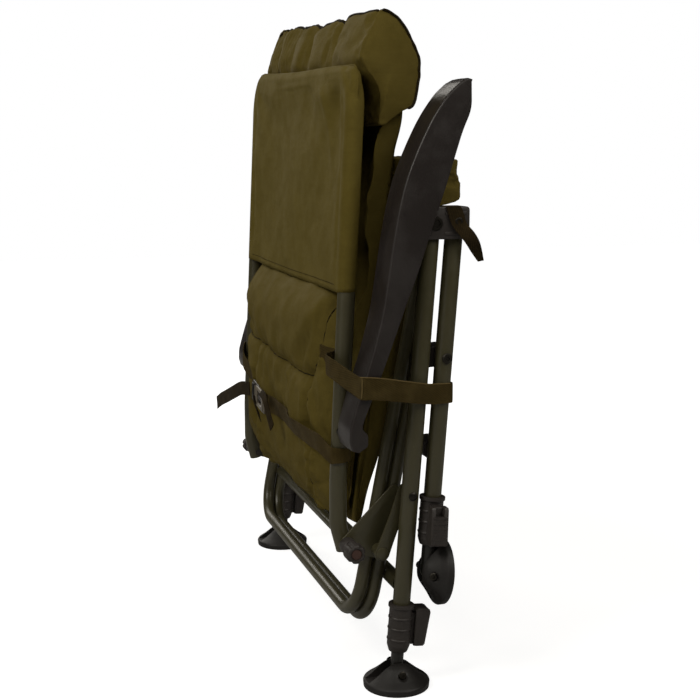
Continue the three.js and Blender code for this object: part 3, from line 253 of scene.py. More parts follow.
def plate(name, outline, side, inner, outer, material, edge):
    # an outline in X and Z between two distances from the middle plane
    return plateIn(name, outline, (0, 0, 0), ((1, 0, 0), (0, 0, 1), (0, side, 0)), inner, outer, material, edge)


def tubeWall(radius, wall, low, high):
    return [(radius - wall, low), (radius, low), (radius, high), (radius - wall, high)]


def fit(piece, body, slot, *nodes):
    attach(piece, body)
    if nodes:
        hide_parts(*nodes)
    return piece


class Graph:
    # short calls that add a shader node and join it up
    def __init__(self, tree):
        self.tree = tree

    def fill(self, node, inputs):
        for label, value in inputs.items():
            if isinstance(value, bpy.types.NodeSocket):
                self.tree.links.new(value, node.inputs[label])
            else:
                node.inputs[label].default_value = value
        return node

    def node(self, kind, inputs, **settings):
        node = self.tree.nodes.new("ShaderNode" + kind)
        for key, value in settings.items():
            setattr(node, key, value)
        return self.fill(node, inputs)

    def math(self, operation, *values):
        return self.node("Math", dict(enumerate(values)), operation=operation).outputs[0]

    def plus(self, a, b):
        return self.math("ADD", a, b)

    def times(self, a, b):
        return self.math("MULTIPLY", a, b)

    def ramp(self, value, low, high, toLow=0.0, toHigh=1.0):
        return self.node("MapRange", {"Value": value, "From Min": low, "From Max": high, "To Min": toLow,
                                      "To Max": toHigh}, interpolation_type="SMOOTHSTEP").outputs[0]

    def noise(self, vector, scale, detail, rough=0.55, stretch=None):
        if stretch is not None:
            vector = self.node("Mapping", {"Vector": vector, "Scale": stretch}).outputs[0]
        inputs = {"Vector": vector, "Scale": scale, "Detail": detail, "Roughness": rough}
        return self.node("TexNoise", inputs).outputs["Fac"]

    def mixColour(self, share, a, b):
        return self.node("Mix", {"Factor": share, "A": a, "B": b}, data_type="RGBA").outputs["Result"]

    def bump(self, height, strength, distance, **normal):
        return self.node("Bump", {"Height": height, "Strength": strength, "Distance": distance, **normal}).outputs[0]


# Shared node groups: each gives masks or heights from the piece's own coordinates
def newGroup(name, outputs, **numbers):
    group = bpy.data.node_groups.new(name, "ShaderNodeTree")
    group.interface.new_socket("Vector", in_out="INPUT", socket_type="NodeSocketVector")
    for label, value in numbers.items():
        group.interface.new_socket(label, in_out="INPUT", socket_type="NodeSocketFloat").default_value = value
    for label in outputs:
        group.interface.new_socket(label, in_out="OUTPUT", socket_type="NodeSocketFloat")
    return group, Graph(group), group.nodes.new("NodeGroupInput").outputs, group.nodes.new("NodeGroupOutput")


# plain weave: threads cross over and under, so the height is a product of two waves
weaveGroup, g, given, end = newGroup("plainWeave", ["Height", "Slub"], Threads=1500.0)
x, y, z = g.node("SeparateXYZ", {0: given["Vector"]}).outputs
warp = g.math("SINE", g.times(g.times(g.plus(y, g.times(x, 0.83)), given["Threads"]), pi))
weft = g.math("SINE", g.times(g.times(g.plus(z, g.times(x, 0.31)), given["Threads"]), pi))
round_ = g.plus(g.math("ABSOLUTE", warp), g.math("ABSOLUTE", weft))
slub = [g.noise(given["Vector"], 30.0, 4.0, 0.6, stretch) for stretch in ((1, 1, 26), (1, 26, 1))]
g.fill(end, {"Height": g.plus(g.times(g.times(warp, weft), 0.5), g.times(round_, 0.35)),
             "Slub": g.ramp(g.plus(*slub), 0.7, 1.3)})

# spark-eroded mould grain with fine flow marks
grainGroup, g, given, end = newGroup("mouldGrain", ["Height", "Blotch"])
place = given["Vector"]
cells = g.node("TexVoronoi", {"Vector": place, "Scale": 900.0}, feature="SMOOTH_F1").outputs["Distance"]
g.fill(end, {"Height": g.plus(cells, g.times(g.noise(place, 1500.0, 2.0), 0.6)),
             "Blotch": g.ramp(g.noise(place, 18.0, 5.0, 0.6), 0.35, 0.7)})

# scuffs: thin streaks and specks that show where handling has rubbed the finish
wearGroup, g, given, end = newGroup("rubbedWear", ["Streak", "Dust"])
place = given["Vector"]
streaks = g.ramp(g.noise(place, 60.0, 6.0, 0.7, (3.0, 3.0, 0.35)), 0.6, 0.72)
g.fill(end, {"Streak": g.times(streaks, g.ramp(g.noise(place, 420.0, 2.0, 0.5), 0.5, 0.7)),
             "Dust": g.ramp(g.noise(place, 9.0, 6.0, 0.65), 0.4, 0.75)})


def linear(colour):
    # a colour picked as it looks, in 0 to 255, as the shader wants it
    values = np.array(colour) / 255.0
    return tuple(np.where(values <= 0.04045, values / 12.92, ((values + 0.055) / 1.055) ** 2.4)) + (1.0,)


def startMaterial(name, colours=(), uv=False):
    material = bpy.data.materials.new(name)
    material.use_nodes = True
    g = Graph(material.node_tree)
    place = g.node("UVMap", {}, uv_map="clothUv").outputs[0] if uv else g.node("TexCoord", {}).outputs["Object"]
    return material, g, g.tree.nodes["Principled BSDF"], place, *map(linear, colours)


def useGroup(g, group, **inputs):
    return g.node("Group", inputs, node_tree=group).outputs


def clothMaterial(name, *colours, threads=1500.0, dust=0.35):
    # woven polyester: threads, slubs, faded patches and darker clouds; the low points of the weave are painted darker
    # as shade between the threads
    material, g, shader, place, base, pale, darkToneAndShade = startMaterial(name, colours)
    weave = useGroup(g, weaveGroup, Vector=place, Threads=threads)
    patch = g.ramp(g.noise(place, 5.0, 5.0, 0.6), 0.35, 0.7)
    cloud = g.ramp(g.noise(place, 34.0, 4.0, 0.6), 0.3, 0.75)
    colour = g.mixColour(g.times(patch, dust), base, pale)
    # cloud and slub darken at random; the third share paints shade into the weave's low points
    for share in (g.times(cloud, 0.22), g.times(weave["Slub"], 0.13), g.ramp(weave["Height"], -0.3, 0.25, 0.55, 0.0)):
        colour = g.mixColour(share, colour, darkToneAndShade)
    normal = g.bump(weave["Height"], 0.55, 0.00022)
    normal = g.bump(g.noise(place, 95.0, 3.0, 0.5), 0.22, 0.0011, Normal=normal)
    normal = g.bump(g.noise(place, 16.0, 4.0, 0.55, (1.0, 0.6, 1.5)), 0.4, 0.006, Normal=normal)
    g.fill(shader, {"Sheen Weight": 0.03, "Sheen Roughness": 0.5, "Sheen Tint": pale, "Specular IOR Level": 0.05,
                    "Base Color": colour, "Normal": normal, "Roughness": g.ramp(cloud, 0.0, 1.0, 0.76, 0.9)})
    return material


def paintMaterial(name, *colours, rough=0.38):
    # satin stoved paint on steel tube, with orange peel, dust and rubbed spots
    material, g, shader, place, base, pale, bare = startMaterial(name, colours)
    wear = useGroup(g, wearGroup, Vector=place)
    colour = g.mixColour(g.times(wear["Streak"], 0.55), g.mixColour(g.times(wear["Dust"], 0.3), base, pale), bare)
    g.fill(shader, {"Specular IOR Level": 0.5, "Coat Weight": 0.12, "Coat Roughness": 0.3, "Base Color": colour,
                    "Roughness": g.ramp(wear["Dust"], 0.0, 1.0, rough - 0.05, rough + 0.12),
                    "Normal": g.bump(g.noise(place, 340.0, 2.0), 0.16, 0.0003)})
    return material


def plasticMaterial(name, *colours, rough=0.5):
    # moulded nylon: grain, flow blotches and scuffed highlights
    material, g, shader, place, base, pale = startMaterial(name, colours)
    grain, wear = useGroup(g, grainGroup, Vector=place), useGroup(g, wearGroup, Vector=place)
    colour = g.mixColour(g.times(wear["Streak"], 0.4), g.mixColour(g.times(grain["Blotch"], 0.35), base, pale), pale)
    g.fill(shader, {"Specular IOR Level": 0.45, "Base Color": colour, "Normal": g.bump(grain["Height"], 0.3, 0.00025),
                    "Roughness": g.ramp(grain["Blotch"], 0.0, 1.0, rough - 0.06, rough + 0.1)})
    return material


def webMaterial(name, *colours):
    # flat webbing: ribs across its width and a twill, on the strip's own UV in metres; the low points of the ribs and
    # twill are painted darker as shade
    material, g, shader, place, base, pale, darkToneAndShade = startMaterial(name, colours, True)
    along, across, _ = g.node("SeparateXYZ", {0: place}).outputs
    rib = g.math("SINE", g.times(along, 2 * pi / 0.0016))
    twill = g.math("SINE", g.times(g.plus(across, g.times(along, 0.5)), 2 * pi / 0.0022))
    height = g.plus(g.times(rib, 0.5), g.times(twill, 0.5))
    worn = g.times(g.ramp(g.noise(place, 40.0, 4.0), 0.4, 0.7), 0.4)
    # the base colour is painted darker as shade where the ribs and twill sink
    g.fill(shader, {"Sheen Weight": 0.02, "Specular IOR Level": 0.06, "Roughness": 0.85,
                    "Base Color": g.mixColour(worn, g.mixColour(g.ramp(height, -0.8, 0.8), darkToneAndShade, base), pale),
                    "Normal": g.bump(height, 0.5, 0.0003)})
    return material


def steelMaterial(name, *colours, rough):
    material, g, shader, place, base, dull = startMaterial(name, colours)
    dust = useGroup(g, wearGroup, Vector=place)["Dust"]
    g.fill(shader, {"Metallic": 1.0, "Base Color": g.mixColour(g.times(dust, 0.5), base, dull),
                    "Roughness": g.ramp(dust, 0.0, 1.0, rough, rough + 0.2),
                    "Normal": g.bump(g.noise(place, 700.0, 2.0), 0.12, 0.0002)})
    return material


oliveCloth = clothMaterial("oliveCloth", (101, 88, 40), (114, 101, 52), (68, 58, 21))
sleeveCloth = clothMaterial("sleeveCloth", (106, 93, 42), (118, 105, 54), (72, 62, 24), dust=0.2)
trimCloth = clothMaterial("trimCloth", (38, 31, 18), (58, 50, 34), (22, 18, 10), threads=1900.0, dust=0.3)
# pale cord painted on the carry strap's top edge and fold as highlight
edgeHighlightCord = clothMaterial("edgeHighlightCord", (112, 96, 62), (128, 112, 78), (84, 70, 42), threads=1900.0, dust=0.2)
olivePaint = paintMaterial("olivePaint", (72, 68, 46), (86, 82, 60), (118, 112, 92))
blackPaint = paintMaterial("blackPaint", (33, 32, 29), (50, 48, 42), (90, 88, 82))
charcoalPlastic = plasticMaterial("charcoalPlastic", (54, 49, 46), (70, 65, 61))
armPlastic = plasticMaterial("armPlastic", (44, 39, 37), (60, 55, 53), rough=0.4)
blackPlastic = plasticMaterial("blackPlastic", (30, 28, 26), (48, 44, 42))
brownWebbing = webMaterial("brownWebbing", (80, 67, 35), (96, 82, 49), (48, 39, 19))
# the strap's free ends use the strap's webbing painted darker as shadow; the cord tabs take the same dark colour
darkAndShadedWebbing = webMaterial("darkAndShadedWebbing", (52, 42, 23), (68, 56, 34), (28, 22, 12))
# light grey plastic painted on the buckle's bars, prongs, yoke and loops as highlight on their edges
buckleHighlightPlastic = plasticMaterial("buckleHighlightPlastic", (112, 104, 90), (150, 142, 126), rough=0.4)
rustPlastic = plasticMaterial("rustPlastic", (74, 50, 42), (96, 70, 60))
zincSteel = steelMaterial("zincSteel", (176, 172, 162), (96, 92, 84), rough=0.32)
darkSteel = steelMaterial("darkSteel", (58, 55, 50), (96, 92, 84), rough=0.42)
nodeFinish = {
    "olive_fabric": oliveCloth, "olive_paint": olivePaint, "black_paint": blackPaint, "steel": zincSteel,
    "charcoal_plastic": charcoalPlastic, "black_plastic": blackPlastic, "brown_webbing": trimCloth}
for entry in frame["record"]["subparts"]:
    node = frame["nodes"][entry["node"]]
    node.data.materials.clear()
    node.data.materials.append(nodeFinish[entry["material_slot"]])
print("materials ready")

# Camera and light
view = {"place": (-488.5, -1711.2, 668.7), "down": 9.18, "turn": -16.91, "lens": 64.29}
cameraData = bpy.data.cameras.new("photoCamera")
cameraData.lens, cameraData.sensor_width = view["lens"], 36.0
camera = addObject("photoCamera", cameraData)
camera.location = toRow(view["place"])
camera.rotation_euler = (math.radians(90 - view["down"]), 0, math.radians(view["turn"]))
scene = bpy.context.scene
scene.camera = camera
scene.view_settings.view_transform = "Standard"

lamps = {  # place in metres, size, watts
    "keyLamp": ((-1.9, -0.8, 2.1), 0.9, 22.0),
    "lowLamp": ((-2.2, -1.0, 0.8), 1.0, 1.8),
    "fillLamp": ((1.2, -1.7, 2.0), 1.1, 17.0),
    "frontLamp": ((-0.35, -1.6, 2.3), 0.9, 7.5),
    "backLamp": ((-0.6, 2.1, 1.6), 1.4, 22.0),
}
for name, (place, size, watts) in lamps.items():
    light = bpy.data.lights.new(name, "AREA")
    light.size, light.energy, light.color = size, watts, (1.0, 0.96, 0.88)
    lamp = addObject(name, light)
    lamp.location = place
    lamp.rotation_euler = (Vector((0, 0, 0.42)) - Vector(place)).to_track_quat("-Z", "Y").to_euler()

white = (1, 1, 1, 1)
world = bpy.data.worlds.new("paleStudio")
world.use_nodes = True
scene.world = world
g = Graph(world.node_tree)
seen = g.node("LightPath", {}).outputs["Is Camera Ray"]
g.fill(g.tree.nodes["Background"], {"Color": white, "Strength": g.ramp(seen, 0.0, 1.0, 0.015, 1.0)})

# the floor glows for the camera alone, a little less near the chair, and keeps its shadow
floorMaterial, g, shader, place = startMaterial("paleFloor")
away = g.node("VectorMath", {0: place}, operation="LENGTH").outputs["Value"]
seen = g.node("LightPath", {}).outputs["Is Camera Ray"]
g.fill(shader, {"Base Color": (0.5, 0.5, 0.5, 1), "Roughness": 0.95, "Specular IOR Level": 0.0,
                "Emission Color": white, "Emission Strength": g.times(seen, g.ramp(away, 0.5, 1.3, 0.82, 1.0))})
floorMesh = bpy.data.meshes.new("floor")
floorMesh.from_pydata([(-6, -6, 0), (6, -6, 0), (6, 6, 0), (-6, 6, 0)], [], [(0, 1, 2, 3)])
floorMesh.materials.append(floorMaterial)
floor = addObject("floor", floorMesh)
print("camera and light ready")

# Hard pieces, rebuilt as turned, swept and plate surfaces
lean, recline, linkFoot, linkHead = chair["lean"], chair["recline"], chair["linkFoot"], chair["linkHead"]
topPivot, seatPivot = chair["topPivot"], chair["seatPivot"]
leg = {"radius": 11.0, "wall": 1.8, "top": 592.0, "pair": 30.0, "guide": 14.6,
       "collar": {"rear": 45.0, "front": 181.0}, "pin": {"rear": 21.5 / math.cos(lean), "front": 145.6}}
upAlong = np.array([math.sin(lean), 0, math.cos(lean)])
frontward = np.array([math.cos(lean), 0, -math.sin(lean)])


def legStart(which, side):
    return np.array([0.0 if which == "rear" else leg["pair"], side * chair["legSpan"], 0])


legs = [(which, side, f"{which}_{name}", legStart(which, side))
        for which in ("rear", "front") for name, side in sides]
for which, side, tag, start in legs:
    wall = tubeWall(leg["radius"], leg["wall"], leg["collar"][which] + leg["guide"], leg["top"])
    fit(turnedPiece(f"legTube_{tag}", wall, olivePaint, start, upAlong, 56, True, 0.5),
        f"{which}_legs", "olive_paint", f"leg_tube_{tag}")
    shaft = [(0, -7.6), (3, -7.4), (5.5, -5.9), (7.3, -3.2), (8, 0), (8, 211.2), (7.2, 212), (0, 212)]
    fit(turnedPiece(f"innerLeg_{tag}", shaft, blackPaint, start + leg["pin"][which] * upAlong, upAlong, 40),
        f"inner_leg_{tag}", "black_paint", f"inner_leg_{tag}")
print("leg tubes ready")

# Clamp collars: a ribbed barrel with a flange, split by a jaw that carries the lever; the lever has a cheek on both
# sides of the jaw, a back wall across them, grips and a pivot through all
clamp = {"height": 62.0, "taper": 11.6, "outer": 14.5, "flange": 16.2, "rib": 0.8, "pivot": (21.5, 14.0),
         "gripLow": 21.0, "gripStep": 6.4, "gripSlope": 5 / 47}
outer, flange, ribbed, slope = clamp["outer"], clamp["flange"], clamp["outer"] + clamp["rib"], clamp["gripSlope"]
barrel = [(8.3, 0), (clamp["taper"], 0), (clamp["taper"] + 0.9, 2.4), (outer, 8.5)]
for at in (16, 30, 44):
    barrel += [(outer, at - 1.6), (ribbed, at - 0.8), (ribbed, at + 0.8), (outer, at + 1.6)]
barrel += [(outer, 56.2), (flange, 57.4), (flange, 61.4), (11.3, 62), (11.3, 14), (8.3, 14)]
cheek = [(16.9, 8.8), (20, 8.2), (29.2, 8.2), (31.4, 10.6), (36.2, 51.5), (35.2, 55), (32, 56.6), (20.5, 56.6),
         (16.9, 54)]
backWall = [(24.4, 19.5), (32.4, 19.5), (36.1, 51.3), (35.1, 54.8), (31.9, 56.4), (20.7, 56.4), (17.2, 53.8),
            (17.2, 50.5), (24.4, 50.5)]
clampBits = [  # name, outline, low, high, edge, steps
    ("collarJaw", roundedRectangle(12.7, 9, 24, 50, 1.6), -5, 5, 0.6, 3),
    ("leverCheek0", cheek, 5.4, 11, 1.0, 3), ("leverCheek1", cheek, -11, -5.4, 1.0, 3),
    ("leverBack", backWall, -6, 6, 0.5, 3)]
for number in range(5):
    at = clamp["gripLow"] + clamp["gripStep"] * number
    face = 31 + slope * (at - 9)
    bar = [(face - 1.2, at - 1.3), (face + 0.9, at - 1.1), (face + 0.9 + slope * 2, at + 1.1), (face - 1.2, at + 1.3)]
    clampBits.append((f"leverGrip{number}", bar, -8.6, 8.6, 0.45, 2))
for which, side, tag, start in legs:
    # height is counted from the end with the lever's pivot; the front clamps hang upside down and face outwards
    foot = start + leg["collar"][which] * upAlong
    axes, origin = (frontward, upAlong, np.array([0, 1.0, 0])), foot
    if which == "front":
        axes, origin = (np.array([0, float(side), 0]), -upAlong, frontward * side), foot + clamp["height"] * upAlong
    fit(turnedPiece(f"collarBarrel_{tag}", barrel, charcoalPlastic, foot, upAlong, 64, True, 0.5),
        f"{which}_legs", "charcoal_plastic", f"lock_collar_{tag}")
    lever = f"lock_lever_{tag}"
    for label, outline, low, high, edge, steps in clampBits:
        part = plateIn(f"{label}_{tag}", outline, origin, axes, low, high, charcoalPlastic, edge, steps)
        body, node = (f"{which}_legs", f"lock_collar_{tag}") if label == "collarJaw" else (lever, lever)
        fit(part, body, "charcoal_plastic", node)
    pivot = origin + clamp["pivot"][0] * axes[0] + clamp["pivot"][1] * axes[1]
    pin = [(0, -10.6), (1.7, -10.6), (2.2, -10.1), (2.2, 10.1), (1.7, 10.6), (0, 10.6)]
    fit(turnedPiece(f"leverPin_{tag}", pin, darkSteel, pivot, axes[2], 24), lever, "charcoal_plastic", lever)
print("clamps ready")

# Mud feet: a dome whose height falls off with the radius, cut by a slot for the leg and notched for the bolt heads;
# the top sheet is z(x, y) = dome(r), lower where |y| is inside the slot, and the bottom sheet is the flat sole
foot = {"radius": 42.0, "slotFloor": 9.0, "slotHalf": 8.6, "pinHeight": 21.5, "headRadius": 6.0,
        "turn": {"rear": 0.0, "front": math.radians(84)}}
domeReach = [0, 9, 13, 18, 26, 32, 37, 40, 41.4, 42]
domeHigh = [31.0, 30.6, 29.4, 26.2, 19.2, 14.4, 11.0, 8.9, 7.6, 6.2]
y = np.sort(np.concatenate([foot["radius"] * easedSpan(73), [-8.62, -8.58, 8.58, 8.62]]))[:, None]
x = np.sqrt(np.maximum(foot["radius"] ** 2 - y ** 2, 0)) * easedSpan(69, 0.6)[None]
y = y + 0 * x
z = np.interp(np.hypot(x, y), domeReach, domeHigh)
z = np.where(np.abs(y) < foot["slotHalf"], np.minimum(z, foot["slotFloor"]), z)
arch = np.sqrt(np.maximum(foot["headRadius"] ** 2 - x ** 2, 0))
notch = smoothStep(22.6, 23.8, np.abs(y)) * (np.abs(x) < foot["headRadius"])
z = np.where(notch > 0, np.minimum(z, z * (1 - notch) + (foot["pinHeight"] - arch) * notch), z)
domePoints = np.concatenate([np.stack([x, y, z], -1), np.stack([x * 0.985, y * 0.985, 0 * z], -1)]).reshape(-1, 3)
domePoints -= (0, 0, foot["pinHeight"])
rows, columns = z.shape
domeFaces = gridFaces(rows, columns) + gridFaces(rows, columns, offset=z.size)
for edge in (np.arange(rows) * columns, np.arange(rows) * columns + columns - 1):
    domeFaces += np.stack([edge[:-1], edge[1:], edge[1:] + z.size, edge[:-1] + z.size], -1).tolist()
boltEnd = [(0, 24.6), (1.9, 24.6), (2.1, 25.7), (4.0, 25.7), (5, 24.9), (5, 23.9), (3, 23.9)]
bolt = [(r, -h) for r, h in boltEnd] + boltEnd[::-1]
for which, side, tag, start in legs:
    s, c = math.sin(foot["turn"][which]), math.cos(foot["turn"][which])
    x, y, z = domePoints.T
    pin = start + leg["pin"][which] * upAlong
    shell = putMesh(f"mudFoot_{tag}", np.stack([x * c - z * s, y, x * s + z * c], -1) + pin, domeFaces, blackPlastic)
    fit(sharpenEdges(shell, 40), f"mud_foot_{tag}", "black_plastic", f"mud_foot_{tag}")
    fit(turnedPiece(f"footBolt_{tag}", bolt, darkSteel, pin, (0, 1, 0), 36),
        f"inner_leg_{tag}", "steel", f"foot_pin_{tag}")
print("mud feet ready")

# Cross tubes and the moulded bushes at the ends of the front one
reach = chair["legSpan"] - leg["radius"] - 0.3
for which, at, radius in (("rear", 128.0, 10.0), ("front", 300.0, 9.0)):
    middle = legStart(which, 0) + at * upAlong
    fit(turnedPiece(f"legCrossTube_{which}", tubeWall(radius, 1.8, -reach, reach), olivePaint, middle, (0, 1, 0), 48,
                    True, 0.5), f"{which}_legs", "olive_paint", f"leg_cross_tube_{which}")
bush = [(9.3, -26), (12, -26), (14, -24), (14, -5), (13.4, -4.2), (14, -3.4), (14, 0), (9.3, 0)]
for sideName, side in sides:
    fit(turnedPiece(f"crossBush_{sideName}", [(r, reach + h) for r, h in bush], charcoalPlastic, middle,
                    (0, side, 0), 48, True, 0.6), "front_legs", "charcoal_plastic", f"cross_bush_{sideName}")
print("cross tubes ready")

# Seat frame: two nested bent tubes, two cross tubes, gussets, links and pivot blocks
seat = {"radius": 8.6, "wall": 1.5, "lean": math.radians(10.76), "halfSpan": 254.4, "bend": 50.0, "x": -19.0,
        "z": 131.0, "plates": (263.3, 266.3), "links": (283.0, 286.0), "blocks": (263.3, 288.7)}
half = seat["halfSpan"]


def seatPoint(run, depth, y):
    s, c = math.sin(seat["lean"]), math.cos(seat["lean"])
    return np.array([seat["x"] + run * s + depth * c, y, seat["z"] + run * c - depth * s])


for name, node, rear, front, depth in (("seatFrameTube", "seat_frame_tube", -59, 508, -8.9),
                                       ("seatSupportTube", "seat_support_tube", -65, 306, 8.9)):
    corners = [seatPoint(*corner) for corner in ((front, depth, -half), (rear, depth, -half), (rear, depth, half),
                                                 (front, depth, half))]
    fit(bentTube(name, corners, [seat["bend"]] * 2, seat["radius"], seat["wall"], 40,
                 seatPoint(0, 1, 0) - seatPoint(0, 0, 0)), "seat", "olive_paint", node)
reach = half - seat["radius"] - 0.3
for name, node, centre, radius in (("seatFrontTube", "seat_front_tube", seatPoint(495, -8.9, 0), 8.6),
                                   ("seatCrossTube", "seat_cross_tube", np.array([-14.0, 0, 141.0]), 7.0)):
    fit(turnedPiece(name, tubeWall(radius, 1.5, -reach, reach), olivePaint, centre, (0, 1, 0), 40, True),
        "seat", "olive_paint", node)


def pinPiece(name, profile, material, pivot, side, count=40, ring=False):
    # turned about a level line through a pivot, with heights counted from the middle plane
    return turnedPiece(name, profile, material, (pivot[0], 0, pivot[1]), (0, side, 0), count, ring)


def shank(inner, outer, radius, high, *head):
    # a bolt or rivet from the inside out; its head is given as shares of the head's radius and height
    return [(0, inner), (4, inner), (4, outer)] + [(radius * a, outer + high * b) for a, b in head]


# the outline of a link plate, drawn in between its two round ends
heading = math.atan2(linkHead[1] - linkFoot[1], linkHead[0] - linkFoot[0])
angle = heading + np.linspace(pi / 2, 3 * pi / 2, 25)
footArc = np.array(linkFoot) + 10 * np.stack([np.cos(angle), np.sin(angle)], -1)
headArc = np.array(linkHead) - 11 * np.stack([np.cos(angle), np.sin(angle)], -1)
middle = (np.array(linkFoot) + linkHead) / 2
across = 7 * np.array([math.sin(heading), -math.cos(heading)])
t = np.linspace(0, 1, 12)[1:-1, None]
linkOutline = np.concatenate([footArc, bow(footArc[-1], middle + across, headArc[0], t), headArc,
                              bow(headArc[-1], middle - across, footArc[0], t)])
rail = seatPoint((416 - 131) / math.cos(seat["lean"]), 8.9, 0)
seatBolt = shank(263.6, 311.3, 6.6, 2.6, (1, 0), (1, 0.55), (0.82, 1), (0.42, 1), (0.38, 0.5), (0, 0.5))
rivet = shank(286.6, 311.3, 5.6, 2.2, (1, 0), (0.97, 0.3), (0.72, 0.75), (0.35, 0.96), (0, 1))
stud = [(0, 265), (8, 265), (8, 282.2), (7.6, 282.7), (5, 282.7), (5, 286.3), (8, 286.3), (7.6, 287.4), (5, 288.5),
        (0, 288.6)]
topBolt = [(0, 266.4), (2.4, 266.4), (2.8, 265.2), (6, 265.2), (7, 266.2), (7, 267.7), (4, 267.7), (4, 313.6),
           (0, 313.6)]
for sideName, side in sides:
    gusset = plate(f"seatGusset_{sideName}", hullOutline((*recline, 10), (*linkFoot, 12), (9, 243, 7)), side,
                   *seat["plates"], olivePaint, 0.7)
    fit(gusset, "seat", "olive_paint", f"seat_gusset_{sideName}")
    fit(pinPiece(f"linkStud_{sideName}", stud, olivePaint, linkFoot, side),
        "seat", "olive_paint", f"seat_gusset_{sideName}")
    fit(plate(f"linkPlate_{sideName}", linkOutline, side, *seat["links"], olivePaint, 0.7),
        f"link_{sideName}", "olive_paint", f"link_plate_{sideName}")
    block = plate(f"pivotBlock_{sideName}", hullOutline((rail[0], rail[2], 12.8), (*seatPivot, 14)), side,
                  *seat["blocks"], charcoalPlastic, 2.2)
    fit(block, "seat", "charcoal_plastic", f"seat_pivot_block_{sideName}")
    fit(pinPiece(f"seatBolt_{sideName}", seatBolt, darkSteel, seatPivot, side),
        "front_legs", "steel", f"seat_pivot_bolt_{sideName}")
    fit(pinPiece(f"legRivet_{sideName}", rivet, darkSteel, linkHead, side),
        "rear_legs", "steel", f"leg_rivet_{sideName}")
    fit(pinPiece(f"topBolt_{sideName}", topBolt, darkSteel, topPivot, side),
        "front_legs", "steel", f"top_pivot_bolt_{sideName}")
print("seat frame ready")


def eased(name, node, material, bevel, degrees, segments):
    # the CAD shape itself, merged, with eased edges
    mesh = frame["nodes"][node].data.copy()
    mesh.name = name
    bm = bmesh.new()
    bm.from_mesh(mesh)
    bmesh.ops.remove_doubles(bm, verts=bm.verts, dist=0.00002)
    bmesh.ops.dissolve_limit(bm, angle_limit=math.radians(1.5), verts=bm.verts, edges=bm.edges)
    edges = [e for e in bm.edges if len(e.link_faces) == 2 and e.calc_face_angle(0) > math.radians(degrees)]
    bmesh.ops.bevel(bm, geom=edges, offset=bevel * mm, offset_type="OFFSET", segments=segments, profile=0.5,
                    affect="EDGES", clamp_overlap=True)
    bm.to_mesh(mesh)
    bm.free()
    mesh.polygons.foreach_set("use_smooth", np.ones(len(mesh.polygons), bool))
    mesh.materials.clear()
    mesh.materials.append(material)
    return sharpenEdges(addObject(name, mesh), degrees + 4)


# Brackets at the leg tops: the moulded block with a raised rim and a cap on its outer face
cap = [(0, 315.2), (8.6, 315.2), (8.6, 316.6), (7.8, 317.4), (5.2, 317.6), (4.8, 316.8), (0, 316.7)]
for sideName, side in sides:
    fit(eased(f"legBracket_{sideName}", f"leg_bracket_{sideName}", charcoalPlastic, 0.7, 28, 3),
        "front_legs", "charcoal_plastic", f"leg_bracket_{sideName}")
    fit(pinPiece(f"bracketCap_{sideName}", cap, darkSteel, topPivot, side), "front_legs", "charcoal_plastic")
    for number, low in enumerate((566, 590)):
        fit(plate(f"bracketRib{number}_{sideName}", roundedRectangle(53.5, low, 82, low + 4, 1.8), side, 315.4, 316.9,
                  charcoalPlastic, 0.6), "front_legs", "charcoal_plastic")
print("brackets ready")

# Armrests: a channel, open below, carried along the arm; its top and lower edges follow curves
arm = {"inner": 268.0, "outer": 322.0, "length": 461.0, "depth": 50.0, "x": -66.0, "z": 312.0,
       "lean": math.radians(17.4), "wall": 3.2, "corner": 3.2}
armTop = np.array([
    (0, 0.06), (0.03, -0.13), (0.13, -0.16), (0.25, -0.14), (0.36, -0.19), (0.46, -0.33), (0.54, -0.45), (0.63, -0.56),
    (0.71, -0.6), (0.79, -0.54), (0.87, -0.43), (0.93, -0.27), (0.975, -0.1), (1, 0.14)])
armLow = np.array([
    (0, 0.24), (0.022, 0.42), (0.052, 0.33), (0.062, 0.14), (0.085, 0.13), (0.2, 0.22), (0.29, 0.265), (0.41, 0.31),
    (0.5, 0.36), (0.6, 0.37), (0.72, 0.4), (0.87, 0.4), (0.93, 0.46), (1, 0.24)])
armPockets = ((0.075, 0.25), (0.26, 0.44), (0.448, 0.79), (0.798, 0.955))


def easedCurve(table, u, width):
    # the table's broken line, averaged over a window so that its corners turn softly
    spread = np.linspace(-1, 1, 9)[:, None] * width
    return np.interp(np.clip(u + spread, 0, 1), table[:, 0], table[:, 1]).mean(0) * arm["depth"]


def armPlace(u, depth):
    s, c = math.sin(arm["lean"]), math.cos(arm["lean"])
    run = u * arm["length"]
    return arm["x"] + run * s + depth * c, arm["z"] + run * c - depth * s


rims = [u for low, high in armPockets for u in (low, low + 0.0008, high - 0.0008, high)]
u = np.sort([*np.linspace(0, 1, 150), *rims])
top = easedCurve(armTop, u, np.minimum(0.03, np.minimum(u, 1 - u)))
low = np.maximum(easedCurve(armLow, u, np.where((u > 0.09) & (u < 0.97), 0.02, 0.004)), top + 6)
pocket = np.any([(u > start + 0.0004) & (u < end - 0.0004) for start, end in armPockets], axis=0)
inner, outer, wall, r, edge = arm["inner"], arm["outer"], arm["wall"], arm["corner"], 1.2
ceiling = np.where(pocket, np.minimum(top + wall, low - 0.4), low - 0.4)[:, None]
t = np.linspace(0, pi / 2, 7)
flat = np.linspace(inner + r, outer - r, 9)[1:-1]
